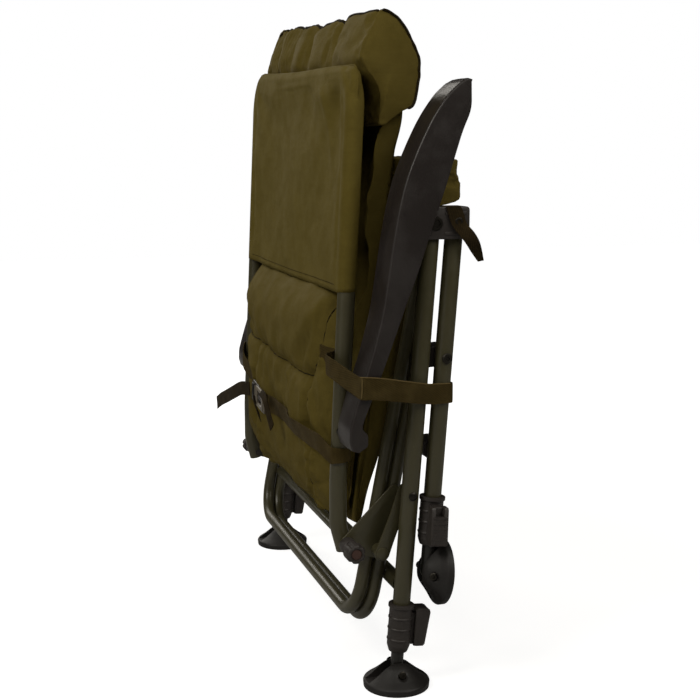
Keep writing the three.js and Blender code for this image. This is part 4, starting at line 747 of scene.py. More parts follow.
# the loop: lower inner rim, up the inner face, over the rounded top, down the outer face, back inside
widths = np.concatenate([
    [inner + edge, inner + 0.3, inner, inner], inner + r * (1 - np.cos(t)), flat, outer - r * (1 - np.sin(t)),
    [outer, outer, outer - 0.3, outer - edge, outer - wall, outer - wall, outer - wall - 0.8, inner + wall + 0.8,
     inner + wall, inner + wall]])
crown = 1 - ((flat - (inner + outer) / 2) / 20) ** 2
low, top = low[:, None], top[:, None]
high = np.minimum(r, (low - top) * 0.7)
belly = low * 0.5 + (top + high) * 0.5
depth = np.concatenate([
    low + [[0, -0.4, -1.2]], belly, top + high * (1 - np.sin(t)), top - crown, top + high * (1 - np.cos(t)), belly,
    low + [[-1.2, -0.4, 0]], low, ceiling + 0.8, ceiling, ceiling, ceiling + 0.8, low], axis=1)
x, z = armPlace(u[:, None], np.minimum(depth, low))
root = armPlace((topPivot[1] - arm["z"]) / math.cos(arm["lean"]) / arm["length"], 4)
boss = [(4.4, 270), (8.5, 270), (8.5, 283), (8, 283.6), (4.4, 283.6)]
for sideName, side in sides:
    node = f"armrest_{sideName}"
    channel = gridPiece(f"armrestShell_{sideName}", np.stack([x, side * widths + 0 * x, z], -1), armPlastic)
    fit(sharpenEdges(channel, 34), node, "charcoal_plastic", node)
    fit(plate(f"armEar_{sideName}", hullOutline((*root, 11), (*topPivot, 9.5)), side, 268.2, 271.2, armPlastic, 0.8),
        node, "charcoal_plastic", node)
    fit(pinPiece(f"armBoss_{sideName}", boss, armPlastic, topPivot, side, 40, True), node, "charcoal_plastic", node)
print("armrests ready")

# Back frame and its pegs, then the fluted knobs
back = {"radius": 11.0, "wall": 1.8, "halfSpan": 252.0, "run": [(-52, 168), (-60.5, 200), (-60.5, 257), (-37.6, 754)],
        "bends": [55, 220, 45, 45, 220, 55]}
half = back["halfSpan"]
corners = [(x, -half, z) for x, z in back["run"]] + [(x, half, z) for x, z in back["run"][::-1]]
fit(bentTube("backFrameTube", corners, back["bends"], back["radius"], back["wall"], 44),
    "back", "olive_paint", "back_frame_tube")
for sideName, side in sides:
    peg = [(0, half + 6), (7, half + 6), (7, 267), (6.4, 267.6), (0, 267.6)]
    fit(pinPiece(f"armPeg_{sideName}", peg, darkSteel, (-58, 322), side, 36),
        "back", "olive_paint", "back_frame_tube")
# rows of (radius, reach, depth of the flutes); the radius is scalloped by the sixth harmonic of the angle
knobRows = np.array([
    (0, 238, 0), (4, 238, 0), (4, 266.6, 0), (10.2, 266.6, 0), (10.5, 267, 0), (10.5, 283.4, 0), (10.1, 284, 0),
    (8, 284.2, 0), (8, 286.8, 0), (11.2, 287.2, 0.8), (12.5, 288.6, 1), (12.5, 291, 1), (12.5, 298, 1),
    (12.5, 303.6, 1), (11.9, 306, 1), (10.4, 307.6, 0.7), (8.4, 308, 0), (7.4, 307.8, 0), (7, 307, 0), (7, 306, 0),
    (6.2, 305.6, 0), (3, 305.9, 0), (0, 306, 0)])
angle = turns(96)
radius = knobRows[:, :1] - 1.9 * knobRows[:, 2:] * np.maximum(np.cos(6 * angle), 0) ** 1.5
x, z = recline[0] + radius * np.cos(angle), recline[1] + radius * np.sin(angle)
knobFace = [(0, 305.4), (6.7, 305.4), (6.7, 306.4), (6.1, 306.9), (3, 307.1), (0, 307.1)]
for sideName, side in sides:
    knob = gridPiece(f"reclineKnob_{sideName}", np.stack([x, side * knobRows[:, 1:2] + 0 * x, z], -1),
                     charcoalPlastic, "open")
    fit(sharpenEdges(knob, 40), f"knob_{sideName}", "charcoal_plastic", f"recline_knob_{sideName}")
    fit(pinPiece(f"knobFace_{sideName}", knobFace, rustPlastic, recline, side, 36),
        f"knob_{sideName}", "charcoal_plastic")
print("back frame ready")


# Soft pieces: a closed grid is blown up as cloth with its seams held, then smoothed once
def waves(a, b, seed, count, shortest, longest):
    # a sum of plane waves with seeded directions and lengths, roughly within -1 to 1
    random = np.random.default_rng(seed)
    total = np.zeros(np.broadcast(a, b).shape)
    for _ in range(count):
        heading, phase = random.uniform(0, pi), random.uniform(0, 2 * pi)
        length = random.uniform(shortest, longest)
        total += np.sin(2 * pi * (a * math.cos(heading) + b * math.sin(heading)) / length + phase)
    return total / math.sqrt(count)


def positionsOf(mesh):
    values = np.empty(len(mesh.vertices) * 3)
    mesh.vertices.foreach_get("co", values)
    return values.reshape(-1, 3)


def placesOf(obj):
    return fromRow(positionsOf(obj.data))


def placeVertices(obj, places):
    obj.data.vertices.foreach_set("co", places.ravel())
    obj.data.update()


def blowUp(obj, held, look, frames=16):
    # cloth pressure swells the piece; held is how firmly each vertex stays, reach caps its way in millimetres
    start = positionsOf(obj.data)
    group = obj.vertex_groups.new(name="held")
    for level in np.unique(np.round(held, 1)):
        if level > 0:
            group.add(np.flatnonzero(np.round(held, 1) == level).tolist(), float(level), "REPLACE")
    cloth = obj.modifiers.new("swell", "CLOTH")
    settings = cloth.settings
    settings.quality = 6
    settings.mass = 0.25
    settings.tension_stiffness = settings.compression_stiffness = 14
    settings.shear_stiffness = 6
    settings.bending_stiffness = 0.6
    settings.use_pressure = True
    settings.uniform_pressure_force = look["pressure"]
    settings.shrink_min = -look["slack"]
    settings.vertex_group_mass = "held"
    settings.pin_stiffness = 4.0
    settings.effector_weights.gravity = 0
    cloth.collision_settings.use_collision = False
    cloth.point_cache.frame_start, cloth.point_cache.frame_end = 1, frames
    for number in range(1, frames + 1):
        scene.frame_set(number)
    move = positionsOf(obj.evaluated_get(bpy.context.evaluated_depsgraph_get()).data) - start
    length = np.linalg.norm(move, axis=1, keepdims=True)
    move *= np.minimum(1, look["reach"] * mm / np.maximum(length, 1e-9))
    obj.modifiers.remove(cloth)
    obj.vertex_groups.remove(group)
    scene.frame_set(1)
    placeVertices(obj, start + np.nan_to_num(move))
    # smoothed by one subdivision
    modifier = obj.modifiers.new("smoother", "SUBSURF")
    modifier.levels = modifier.render_levels = 1
    mesh = bpy.data.meshes.new_from_object(obj.evaluated_get(bpy.context.evaluated_depsgraph_get()))
    obj.modifiers.remove(modifier)
    mesh.name = obj.name
    obj.data = mesh


def relief(obj, seed, height, shortest, longest, share):
    place = placesOf(obj)
    lift = height * waves(place[:, 1], place[:, 2], seed, 9, shortest, longest)
    place[:, 0] += lift * share(place)
    placeVertices(obj, toRow(place))


def foldPlane(z):
    # where the folded seat and back pads lie against each other
    return -35 + 0.125 * (z - 200)


def tubeX(z):
    # the middle of the back tube above its knee
    return -60.5 + 23.5 * (z - 257) / 511


def padPiece(name, look, rearAt, frontAt):
    # section at height z: |y / Y|^p + |x / X|^p = 1, with X and Y falling off towards both ends
    s = signedPower(easedSpan(84), 0.9)[:, None]
    z = (look["high"] + look["low"]) / 2 + (look["high"] - look["low"]) / 2 * s
    angle = turns(160)[None, :]
    t = signedPower(np.cos(angle), 0.85)
    face = np.where(np.sin(angle) >= 0, 1.0, -1.0) * np.where(np.abs(np.sin(angle)) < 1e-9, 0, 1)
    pull = look["corner"] * np.abs(s * t) ** 4 * np.where(s > 0, look["topCorner"], 1.0)
    y = look["halfWidth"] * t * (1 - look["drawIn"] * (1 - s * s)) * (1 - pull)
    z = z - np.sign(s) * pull * look["halfWidth"] + 0 * t
    ends = np.where(s > 0, superCurve(s * 0.999, look["topPower"]), superCurve(s, look["endPower"]))
    depth = ends * superCurve(t, look["sidePower"])
    rear, front = rearAt(y, z), frontAt(y, z)
    x = (rear + front) / 2 + face * np.maximum(depth, 0.02) * (front - rear) / 2
    z = z + look["topSlant"] * np.clip((x + 8) / 38, -0.3, 1) * smoothStep(0.86, 1, s)
    return gridPiece(name, np.stack([x, y, z], -1), oliveCloth)


backPad = {
    "halfWidth": 236.0, "low": 193.0, "high": 698.0, "drawIn": 0.012, "corner": 0.05, "topCorner": 0.1,
    "endPower": 7.0, "topPower": 24.0, "sidePower": 8.0, "topSlant": 25.0, "pressure": 3.2, "slack": 0.035,
    "reach": 7.0, "crown": 35.0,
    # how far it stands out behind the frame at each height, as shares of its crown
    "crownAt": [186, 206, 233, 266, 340, 366, 396, 445, 475, 500],
    "crownShares": [0.3, 0.73, 0.97, 1.0, 0.94, 0.84, 0.76, 0.7, 0.42, 0],
    # seams and creases on the rear face as (y, z) runs, read off the photograph
    "seams": [
        [(-212, 500), (-205, 478), (-196, 453), (-190, 412), (-171, 378), (-163, 344), (-164, 305), (-169, 266),
         (-166, 231), (-160, 192)],
        [(238, 385), (170, 382), (83, 380), (0, 376), (-86, 375), (-136, 374), (-172, 377)],
        [(120, 379), (120, 305), (121, 242), (122, 190)]],
    "creases": [[(-165, 231), (-200, 240), (-240, 259)], [(-168, 378), (-200, 390), (-232, 405)],
                [(-190, 440), (-215, 432), (-238, 418)]],
}


def runDistance(y, z, run):
    # distance from each point to a broken line, and the place along it
    best, along, passed = np.full(np.shape(y), 1e9), np.zeros(np.shape(y)), 0.0
    for (y0, z0), (y1, z1) in zip(run[:-1], run[1:]):
        length = math.hypot(y1 - y0, z1 - z0)
        share = np.clip(((y - y0) * (y1 - y0) + (z - z0) * (z1 - z0)) / length ** 2, 0, 1)
        away = np.hypot(y - y0 - share * (y1 - y0), z - z0 - share * (z1 - z0))
        along = np.where(away < best, passed + share * length, along)
        best = np.minimum(best, away)
        passed += length
    return best, along


def backRear(y, z):
    # the rear face: crowned behind the frame, pressed in by the waist strap and rolled forward beside the sleeve
    wide, sideways = np.clip(y / 240, -1, 1), np.abs(y)
    crown = backPad["crown"] * np.interp(z, backPad["crownAt"], backPad["crownShares"])
    crown = crown * superCurve(wide, np.where(y < 0, 3.2, 6.0))
    strap = np.interp(y, [-252, -175, 50, 130, 252], [298, 300, 300, 310, 345])
    rim = smoothStep(190, 224, sideways)
    roll = np.interp(z, [300, 380, 430, 482, 520, 570, 690], [0, 6, 14, 18, 14, 9, 11]) * rim
    groove = 15 * bellAt(sideways, 217, 10) * smoothStep(385, 440, z) * (1 - smoothStep(515, 545, z))
    hollow = 27 * smoothStep(512, 548, z) * (1 - bellAt(sideways, 236, 11))
    x = -51 + 13.6 * smoothStep(455, 505, z) + 11.4 * smoothStep(520, 700, z)
    return x - crown + roll + groove + hollow + 6 * bellAt(z, strap, 19) * superCurve(wide, 2.6)


def backFront(y, z):
    # flat against the folded seat pad, and free to swell above its top edge
    return foldPlane(z) - 0.4 + 8 * smoothStep(664, 688, z) + 0 * y


def rearOfBack(place):
    return 1 - smoothStep(-22, -8, place[:, 0] - foldPlane(place[:, 2]))


backPiece = padPiece("backPad", backPad, backRear, backFront)
x, y, z = placesOf(backPiece).T
held = np.maximum(np.where(x > foldPlane(z) - 4, 1.0, 0.0), np.where(np.abs(y) > 233, 0.6, 0))
for run in backPad["seams"]:
    held = np.maximum(held, np.where(x < foldPlane(z) - 12, bellAt(runDistance(y, z, run)[0], 0, 6), 0))
blowUp(backPiece, held, backPad)
# a groove along each seam, with puckers that die away from it
for seams, depth, width, seed in ((backPad["seams"], 8.0, 9.0, 3), (backPad["creases"], 3.0, 7.0, 9)):
    place = placesOf(backPiece)
    sink = np.zeros(len(place))
    for number, run in enumerate(seams):
        away, along = runDistance(place[:, 1], place[:, 2], run)
        pucker = np.sin(along / 4.1 + 1.7 * np.sin(along / 13.0 + number)) * np.sin(along / 29.0 + seed)
        sink += depth * (0.55 * bellAt(away, 0, width) + 0.45 * bellAt(away, 0, 2.2))
        sink += 1.5 * pucker * bellAt(away, 7, 7)
    place[:, 0] += sink * rearOfBack(place)
    placeVertices(backPiece, toRow(place))
relief(backPiece, 5, 1.1, 34, 120, rearOfBack)
fit(backPiece, "back", "olive_fabric", "back_mattress")
print("back pad ready")

seatPad = {
    "halfWidth": 245.0, "low": 189.0, "high": 662.0, "drawIn": 0.012, "corner": 0.03, "topCorner": 0.4,
    "endPower": 12.0, "topPower": 22.0, "sidePower": 12.0, "topSlant": 0.0, "pressure": 2.6, "slack": 0.03,
    "reach": 5.0, "noseX": 109.0, "sag": 9.0,
}


def seatFace(z):
    # the plane of the seat frame's rear side, on which the pad lies
    s, c = math.sin(seat["lean"]), math.cos(seat["lean"])
    return seat["x"] + (z - seat["z"]) * s / c - 17.8 / c


def seatFront(y, z):
    nose = smoothStep(590, 604, z)
    sag = smoothStep(225, 300, z) * (1 - smoothStep(560, 590, z)) * (1 - smoothStep(238, 243, np.abs(y)))
    return (seatFace(z) + seatPad["sag"] * sag) * (1 - nose) + seatPad["noseX"] * nose


seatPiece = padPiece("seatPad", seatPad, lambda y, z: foldPlane(z) + 0.4 + 0 * y, seatFront)
x, y, z = placesOf(seatPiece).T
held = np.where((x < foldPlane(z) + 4) & (z < 640), 1.0, 0.0)
blowUp(seatPiece, np.maximum(held, np.where((x > seatFace(z) - 4) & (z < 622), 0.9, 0)), seatPad)
relief(seatPiece, 8, 0.8, 30, 90, lambda place: smoothStep(560, 640, place[:, 2]))
fit(seatPiece, "seat", "olive_fabric", "seat_mattress")
print("seat pad ready")

pillow = {
    "halfWidth": 247.0, "rows": 96, "endRings": 14, "skew": 8.0, "pressure": 2.4, "slack": 0.035, "reach": 4.5,
    # its end seen from the side, as (x, z), from its lower rear corner round by the top
    "outline": [
        (-8, 696), (-6, 712), (-5, 730), (-8, 745), (-16, 758), (-24, 768), (-29, 780), (-26, 793), (-20, 810),
        (-14, 824), (-9, 836), (-4.5, 842), (3, 840.5), (12, 835), (20, 828), (28, 817), (35, 804), (41, 791),
        (44.5, 780), (45, 762), (42.5, 743), (39.5, 727), (36, 719), (25, 715), (10, 704), (-2, 694.5)],
    # where the seams between its channels lie, and how deep each is
    "pleats": [(196.0, 0.3), (113.0, 0.45), (24.0, 0.9), (-98.0, 1.0)],
}


def evenLoop(corners, count):
    # equal steps round a closed line, eased once
    loop = np.array([*corners, corners[0]], float)
    points = placesAt(loop, np.linspace(0, reachAlong(loop)[-1], count, endpoint=False))
    return (np.roll(points, 1, 0) + 2 * points + np.roll(points, -1, 0)) / 4


def pillowSkew(z):
    # how far the pillow's far end stands higher than its middle, at each height of the outline
    return pillow["skew"] * (z - 693.6) / 142.4


outline = evenLoop(pillow["outline"], 88)
middle = outline.mean(0)
ends = np.linspace(0.04, 0.97, pillow["endRings"])
scale = np.concatenate([ends, np.ones(pillow["rows"]), ends[::-1]])
across = np.concatenate([-1 + 0 * ends, easedSpan(pillow["rows"], 0.35), 1 + 0 * ends]) * pillow["halfWidth"]
bulge = 6.0 * (1 - scale ** 2) * np.sign(across)
x, z = np.moveaxis(middle + (outline - middle)[None] * scale[:, None, None], -1, 0)
z = z + pillowSkew(z) * across[:, None] / pillow["halfWidth"]
pillowPiece = gridPiece("headPillow", np.stack([x, (across + bulge)[:, None] + 0 * z, z], -1), oliveCloth)
pleats = np.array(pillow["pleats"])
x, y, z = placesOf(pillowPiece).T
held = np.where(np.abs(np.abs(y) - 247) < 1.5, 0.5, np.where(np.abs(y) > 247, 0.9, 0.0))
near = np.min(np.abs(y[:, None] - pleats[:, 0]), axis=1)
held = np.maximum(held, np.where((x < 0) & (z > 770), 0.7 * bellAt(near, 0, 5), 0))
blowUp(pillowPiece, np.maximum(held, np.where(z < 697, 1.0, 0)), pillow)
place = placesOf(pillowPiece)
x, y, z = place.T
# channels: each seam pulls the top rear edge down in a notch that fades down the rear face
sink = np.zeros(len(place))
for y0, share in pleats:
    lean = y0 - 10 * (835 - z) / 60 + 3 * np.sin(z / 17 + y0)
    sink += share * (6.0 * bellAt(y, lean, 17) + 3.6 * bellAt(y, lean, 4.5))
    sink += 0.45 * np.sin((y - lean) / 2.6) * bellAt(y, lean, 20) * smoothStep(770, 800, z)
sink += 0.8 * np.sin(y / 1.9 + 2 * np.sin(y / 11)) * smoothStep(95, 150, y)
sink *= np.where(np.abs(y) < 247, 1 - smoothStep(234, 247, np.abs(y)), 0)
sink *= smoothStep(752, 826, z) * (1 - smoothStep(0, 24, x))
outwards = place[:, [0, 2]] - (12, 770)
place[:, [0, 2]] -= outwards / np.maximum(np.linalg.norm(outwards, axis=1), 1)[:, None] * sink[:, None]
placeVertices(pillowPiece, toRow(place))
relief(pillowPiece, 11, 1.0, 30, 95, lambda place: 1 - smoothStep(225, 243, np.abs(place[:, 1])))
fit(pillowPiece, "back", "olive_fabric", "headrest_pillow")
print("pillow ready")

sleeve = {"reach": 11.7, "low": 495.0, "topZ": 761.0, "halfSpan": 252.0, "bend": 45.0, "hollow": 5.0, "cloth": 1.1,
          "corner": 20.0, "runZ": 754.0, "runRadius": 11.0, "hemSag": 4.0}


def sleeveShape(side):
    # d is the distance in from the outer edge of the bent tube; the cloth follows the tube, spans across it inside
    # and stands flat and empty in the corner outside its bend
    reach, bend, corner = sleeve["reach"], sleeve["bend"] + sleeve["reach"], sleeve["corner"]
    halfY, top = sleeve["halfSpan"] + reach, sleeve["topZ"] + reach
    rise = np.concatenate([
        np.linspace(sleeve["low"], top - bend, 44)[:-1], np.linspace(top - bend, top - corner, 20)[:-1],
        top - corner + corner * np.sin(np.linspace(0, pi / 2, 16))])
    up = np.clip((rise - (top - corner)) / corner, 0, 1)
    width = halfY - corner * (1 - np.sqrt(np.maximum(1 - up ** 2, 0)))
    y = width[:, None] * easedSpan(141, 0.5)[None]
    z = rise[:, None] + 0 * y
    sidewise, overhead = halfY - np.abs(y), top - z
    nearest = np.minimum(sidewise, overhead)
    inCorner = (sidewise < bend) & (overhead < bend)
    inRound = (sidewise < corner) & (overhead < corner)
    d = np.where(inCorner, bend - np.hypot(bend - sidewise, bend - overhead), nearest)
    rimAway = np.where(inRound, corner - np.hypot(corner - sidewise, corner - overhead), nearest)
    empty = (1.0 + 6.5 * smoothStep(-26, 3, d)) * inCorner * smoothStep(0, 9, rimAway)
    d = np.maximum(d, 0)
    thick = np.maximum(np.sqrt(np.maximum(reach ** 2 - (reach - np.minimum(d, reach)) ** 2, 0)), empty)
    span = sleeve["hollow"] * smoothStep(reach, 75, d)
    crease = 2.2 * bellAt(d, 27, 7) * smoothStep(500, 560, z) * (1 - smoothStep(690, 725, z))
    return d, y, z, tubeX(np.minimum(z, sleeve["topZ"])) + side * (thick - span - crease)


def sleeveFolds(side, d, y, z):
    # slack cloth: folds that fan out of the top corners, long draws across and a soft wave along the hem
    total = np.zeros(y.shape)
    for corner in (-1, 1):
        a, b = y - corner * 235, 762 - z
        angle, away = np.arctan2(b, np.abs(a) + 0.1), np.hypot(a, b)
        total += 2.2 * np.sin(angle * 7.0 + 0.7 * corner) * bellAt(away, 55, 45) * (np.sign(a) == -corner)
        total += 2.4 * np.sin(angle * 4.0 + 1.1 * corner + 2) * bellAt(away, 130, 75)
    # a dent below the top edge, with a soft ridge that runs down beside it
    total -= 8.0 * bellAt(y, -78, 36) * smoothStep(660, 728, z) * (1 - smoothStep(742, 766, z))
    total += 3.8 * bellAt(y, -146 + 0.35 * (z - 745), 12) * smoothStep(610, 700, z) * (1 - smoothStep(732, 762, z))
    total -= 2.2 * bellAt(y, -190 + 0.25 * (z - 745), 14) * smoothStep(600, 700, z)
    total += 2.2 * waves(y, z * 0.7, 21 + side, 6, 150, 380) + 0.35 * waves(y, z, 31 + side, 8, 30, 70)
    return total * smoothStep(9, 40, d)


def hemSag(y):
    return sleeve["hemSag"] * superCurve(np.clip(y / 258, -1, 1), 2)


sheets = []
for side in (-1, 1):
    d, y, z, x = sleeveShape(side)
    fold = 0.8 * sleeveFolds(side, d, y, z)
    x = x + side * np.where(side > 0, np.minimum(fold, 0.3 * fold), fold)
    # the hem sags and the top edge falls towards the near corner
    fall = np.interp(y, [-264, -237, -161, -91, 13, 130, 228, 264], [-6, -4.4, -1.8, -0.7, 0.7, 5.1, 10, 8])
    z = z - hemSag(y) * (1 - smoothStep(495, 560, z)) + fall * smoothStep(690, 770, z)
    # no fold sinks into the tube's cross run
    run = np.sqrt(np.maximum(sleeve["runRadius"] ** 2 - (z - sleeve["runZ"]) ** 2, 0))
    clear = np.where((run > 0) & (np.abs(y) < 215), run + 0.8, -99)
    sheets.append(np.stack([tubeX(z) + side * np.maximum(side * (x - tubeX(z)), clear), y, z], -1))
rows, columns = y.shape
# one sheet: the rear face, over the rim, and the front face
faces = gridFaces(rows, columns) + gridFaces(rows, columns, offset=y.size)
sleevePiece = putMesh("backSleeve", np.concatenate(sheets).reshape(-1, 3), faces, sleeveCloth)
skin = sleevePiece.modifiers.new("clothThickness", "SOLIDIFY")
skin.thickness, skin.offset = sleeve["cloth"] * mm, -1.0
fit(sleevePiece, "back", "olive_fabric", "back_sleeve")
print("sleeve ready")


# Webbing, buckle, tabs, piping and stitches, laid on the finished pads
def smoothThrough(points, count):
    # Catmull-Rom through the points, then equal steps along its length
    points = np.asarray(points, float)
    padded = np.concatenate([[2 * points[0] - points[1]], points, [2 * points[-1] - points[-2]]])
    t = np.linspace(0, len(points) - 1 - 1e-6, 24 * len(points))
    k = t.astype(int)
    f = (t - k)[:, None]
    a, b, c, d = (padded[k + number] for number in range(4))
    fine = 0.5 * (2 * b + (c - a) * f + (2 * a - 5 * b + 4 * c - d) * f ** 2 + (3 * b - a - 3 * c + d) * f ** 3)
    return placesAt(fine, np.linspace(0, reachAlong(fine)[-1], count))


def ribbon(name, upper, lower, material, thickness, rows, seed, ripple):
    # a strip between two edge curves, thickened along its own normal; UV is metres along and across
    top, low = smoothThrough(upper, rows), smoothThrough(lower, rows)
    middle = (top + low) / 2
    normal = unit(np.cross(np.gradient(middle, axis=0), top - low))[:, None]
    share = np.linspace(0, 1, 9)[None]
    sheet = top[:, None] * (1 - share[..., None]) + low[:, None] * share[..., None]
    run = reachAlong(middle)[:, None]
    wave = ripple * np.sin(run / 9.0 + seed) * np.sin(pi * share + seed)
    half = thickness / 2 * (1 - 0.35 * (2 * share - 1) ** 8)
    front, rear = sheet + normal * (wave + half)[..., None], sheet + normal * (wave - half)[..., None]
    across = np.concatenate([share, share[:, ::-1]], 1) * np.linalg.norm(top - low, axis=1)[:, None]
    uv = np.stack([run + 0 * across, across], -1) * mm
    return sharpenEdges(gridPiece(name, np.concatenate([front, rear[:, ::-1]], axis=1), material, uv=uv), 50)


def rod(name, points, radius, material, sides=6, squashed=1.0):
    # a thin round or flattened cord through points, closed at both ends
    rows = np.arange(len(points))
    ends = np.sin(np.clip(np.minimum(rows, rows[::-1]) / 2.0, 0, 1) * pi / 2)
    section = (circle(radius, sides) * (1, squashed))[None] * np.maximum(ends, 0.15)[:, None, None]
    tangents = unit(np.gradient(points, axis=0))
    return gridPiece(name, sweptPoints(points, tangents, section, (0.31, 0.17, 0.93)), material)


def stitches(name, run, lift, material, step, length, radius):
    # short thread capsules along a run: each is an ellipsoid r(v) = radius * cos v, stretched along the run
    at = np.arange(step / 2, reachAlong(run)[-1] - step / 2, step)
    centre = placesAt(run, at) + np.asarray(lift)
    ahead = unit(placesAt(run, at + 0.5) - placesAt(run, at - 0.5))
    across = unit(np.cross(ahead, (0.2, 0.3, 0.93)))
    axes = np.stack([ahead, across, np.cross(ahead, across)], 1)
    v, u = np.linspace(-pi / 2, pi / 2, 6)[:, None], turns(6)[None]
    local = np.stack([np.sin(v) * length / 2 + 0 * u, radius * np.cos(v) * np.cos(u),
                      radius * np.cos(v) * np.sin(u)], -1)
    points = centre[:, None] + local.reshape(-1, 3) @ axes
    faces = np.array(gridFaces(6, 6, False, True))[None] + 36 * np.arange(len(at))[:, None, None]
    return putMesh(name, points.reshape(-1, 3), faces.reshape(-1, 4).tolist(), material)


def treeOf(obj):
    return BVHTree.FromObject(obj, bpy.context.evaluated_depsgraph_get())


def nearest(tree, points, lift):
    # the nearest places on a piece, and lift millimetres off it
    out = []
    for point in points:
        spot, normal = tree.find_nearest(Vector(toRow(point)))[:2]
        out.append(fromRow(np.array(spot)) + lift * np.array(normal))
    return np.array(out)


def onFace(tree, y, z, lift):
    # where a level line from behind meets a piece at (y, z), or x = -60 where it misses, and lift millimetres behind
    spots = []
    for spotY, spotZ in zip(y, z):
        hit = tree.ray_cast(Vector(toRow((-300, spotY, spotZ))), Vector((1, 0, 0)))[0]
        x = -60.0 if hit is None else fromRow(np.array(hit))[0]
        spots.append((x - lift, spotY, spotZ))
    return np.array(spots)


backTree = treeOf(backPiece)
# The waist strap: round the outside of the near tube, over the pad's crown and up to the far tube; it is taut from
# the tube to the crown, never inside the pad, and straight where the pad falls away
waist = {"half": 12.0, "thickness": 1.6, "wrap": 13.6, "z": 300.0, "nearZ": 292.0, "farZ": 345.0}
angle = np.radians([15, 50, 90, 130, 165])
wrapNear = np.stack([tubeX(298) + waist["wrap"] * np.cos(angle), -252 - waist["wrap"] * np.sin(angle),
                     waist["nearZ"] + 0 * angle], -1)
acrossY = np.linspace(-226, 58, 40)
edges = []
for way in (1, -1):
    run = onFace(backTree, acrossY, waist["z"] + way * waist["half"] + 0 * acrossY, 1.6)
    taut = np.interp(acrossY, [-240, -150], [-76, run[acrossY < -130, 0].min()])
    x = np.where(acrossY < -150, np.minimum(run[:, 0], taut), run[:, 0])
    run[:, 0] = np.minimum(np.convolve(np.pad(x, 3, "edge"), np.ones(7) / 7, "valid"), run[:, 0])
    widen = way * np.linspace(7, 11, len(angle))[:, None] * (0, 0, 1)
    edges.append(np.concatenate([wrapNear + widen, run[::3]]))
fit(ribbon("waistStrap", *edges, brownWebbing, waist["thickness"], 200, 1, 0.2),
    "back", "brown_webbing", "waist_strap")
over = onFace(backTree, np.array([125, 150, 185, 215, 236]), np.array([304, 308, 316, 325, 335]), 1.8)
over[4, 0] = -76
angle = np.radians([150, 110, 70, 30, -10])
wrapFar = np.stack([tubeX(345) + waist["wrap"] * np.cos(angle), 252 + waist["wrap"] * np.sin(angle),
                    waist["farZ"] + 0 * angle], -1)
run = np.concatenate([over, wrapFar])
fit(ribbon("waistStrapFar", run + (0, 0, waist["half"]), run - (0, 0, waist["half"]), brownWebbing,
           waist["thickness"], 100, 2, 0.2), "back", "brown_webbing", "waist_strap")
# frayed threads hang from the strap's end beside the near tube
for number, (offset, drop) in enumerate(((0, 46), (3, 58), (-4, 36), (6, 50), (-7, 28))):
    t = np.linspace(0, 1, 16)
    points = np.stack([tubeX(290) + 12.4 + offset * 0.6 + 2 * np.sin(4 * t + number), -258 + offset * 0.5 + 3 * t,
                       288 - drop * t], -1)
    fit(rod(f"strapThread{number}", points, 0.45, brownWebbing), "back", "brown_webbing")
print("waist strap ready")

# The buckle: a body with a ladder slot, a forked tongue and free ends of webbing; its plates lie on the strap
tip, buckleAt, root = onFace(backTree, np.array([52, 92, 132]), np.array([301, 302, 305]), 7.0)
acrossWay = unit(root - tip)
upWay = unit(np.array([0, 0, 1.0]) - acrossWay[2] * acrossWay)
outWay = np.cross(acrossWay, upWay)
buckleAxes = (acrossWay, upWay, -outWay * np.sign(outWay[0]))
# the light grey bits are painted highlight where the buckle's raised edges catch the light
buckleBits = [  # name, left, low, right, high, corner, then its depths, look and edge
    ("body", -12, -17, 36, 17, 6, -3.4, 1.6, charcoalPlastic, 1.4),
    ("mouth", 20, -13.5, 34, 13.5, 4, 1.2, 3.6, blackPlastic, 1.0),
    ("barOne", 4, -14, 8, 14, 1.8, 1.0, 4.4, buckleHighlightPlastic, 1.2),
    ("barTwo", -6, -14, -2, 14, 1.8, 1.0, 4.2, buckleHighlightPlastic, 1.2),
    ("prongHigh", -36, 9, 4, 15.5, 3, -1.6, 3.2, buckleHighlightPlastic, 1.5),
    ("prongLow", -36, -15.5, 4, -9, 3, -1.6, 3.2, buckleHighlightPlastic, 1.5),
    ("spine", -34, -3, -2, 3, 2.4, -1.8, 2.2, charcoalPlastic, 1.2),
    ("yoke", -44, -16, -34, 16, 3.5, -2.4, 2.8, buckleHighlightPlastic, 1.5),
    ("loopBar", -52, -16, -48, 16, 1.8, -1.8, 2.0, buckleHighlightPlastic, 1.4),
    ("loopHigh", -52, 12, -36, 16, 1.8, -1.8, 2.0, buckleHighlightPlastic, 1.4),
    ("loopLow", -52, -16, -36, -12, 1.8, -1.8, 2.0, buckleHighlightPlastic, 1.4),
]
for label, left, low, right, high, corner, near, far, look, edge in buckleBits:
    bit = plateIn(f"buckle_{label}", roundedRectangle(left, low, right, high, corner), buckleAt, buckleAxes, near, far,
                  look, edge)
    fit(bit, "back", "charcoal_plastic", *(["strap_buckle"] if label == "body" else []))
tails = [
    # the long free end swings out to the left, the short one hangs over the strap
    ("Long", [(-93, 112, 309), (-98, 150, 303), (-101, 190, 290), (-101.5, 245, 273), (-101, 296, 258),
              (-99, 345, 242)], 10.5, (0, 0.25, 1)),
    ("Short", [(-94, 30, 319), (-97.5, -6, 317), (-98, -30, 301), (-98, -54, 285)], 5.0, (0.5, 0.1, 0.85)),
    ("Fold", [(-96, 62, 303), (-100.5, 48, 303), (-100.5, 36, 296), (-96, 30, 282)], 9.5, (0, 0.8, 0.6)),
]
# the free ends are painted darker than the strap as shadow
for label, run, half, way in tails:
    run, way = np.array(run), half * unit(np.array(way))
    fit(ribbon(f"strapTail{label}", run + way, run - way, darkAndShadedWebbing, 1.5, 60, 3, 0.5), "back", "brown_webbing")
print("buckle ready")

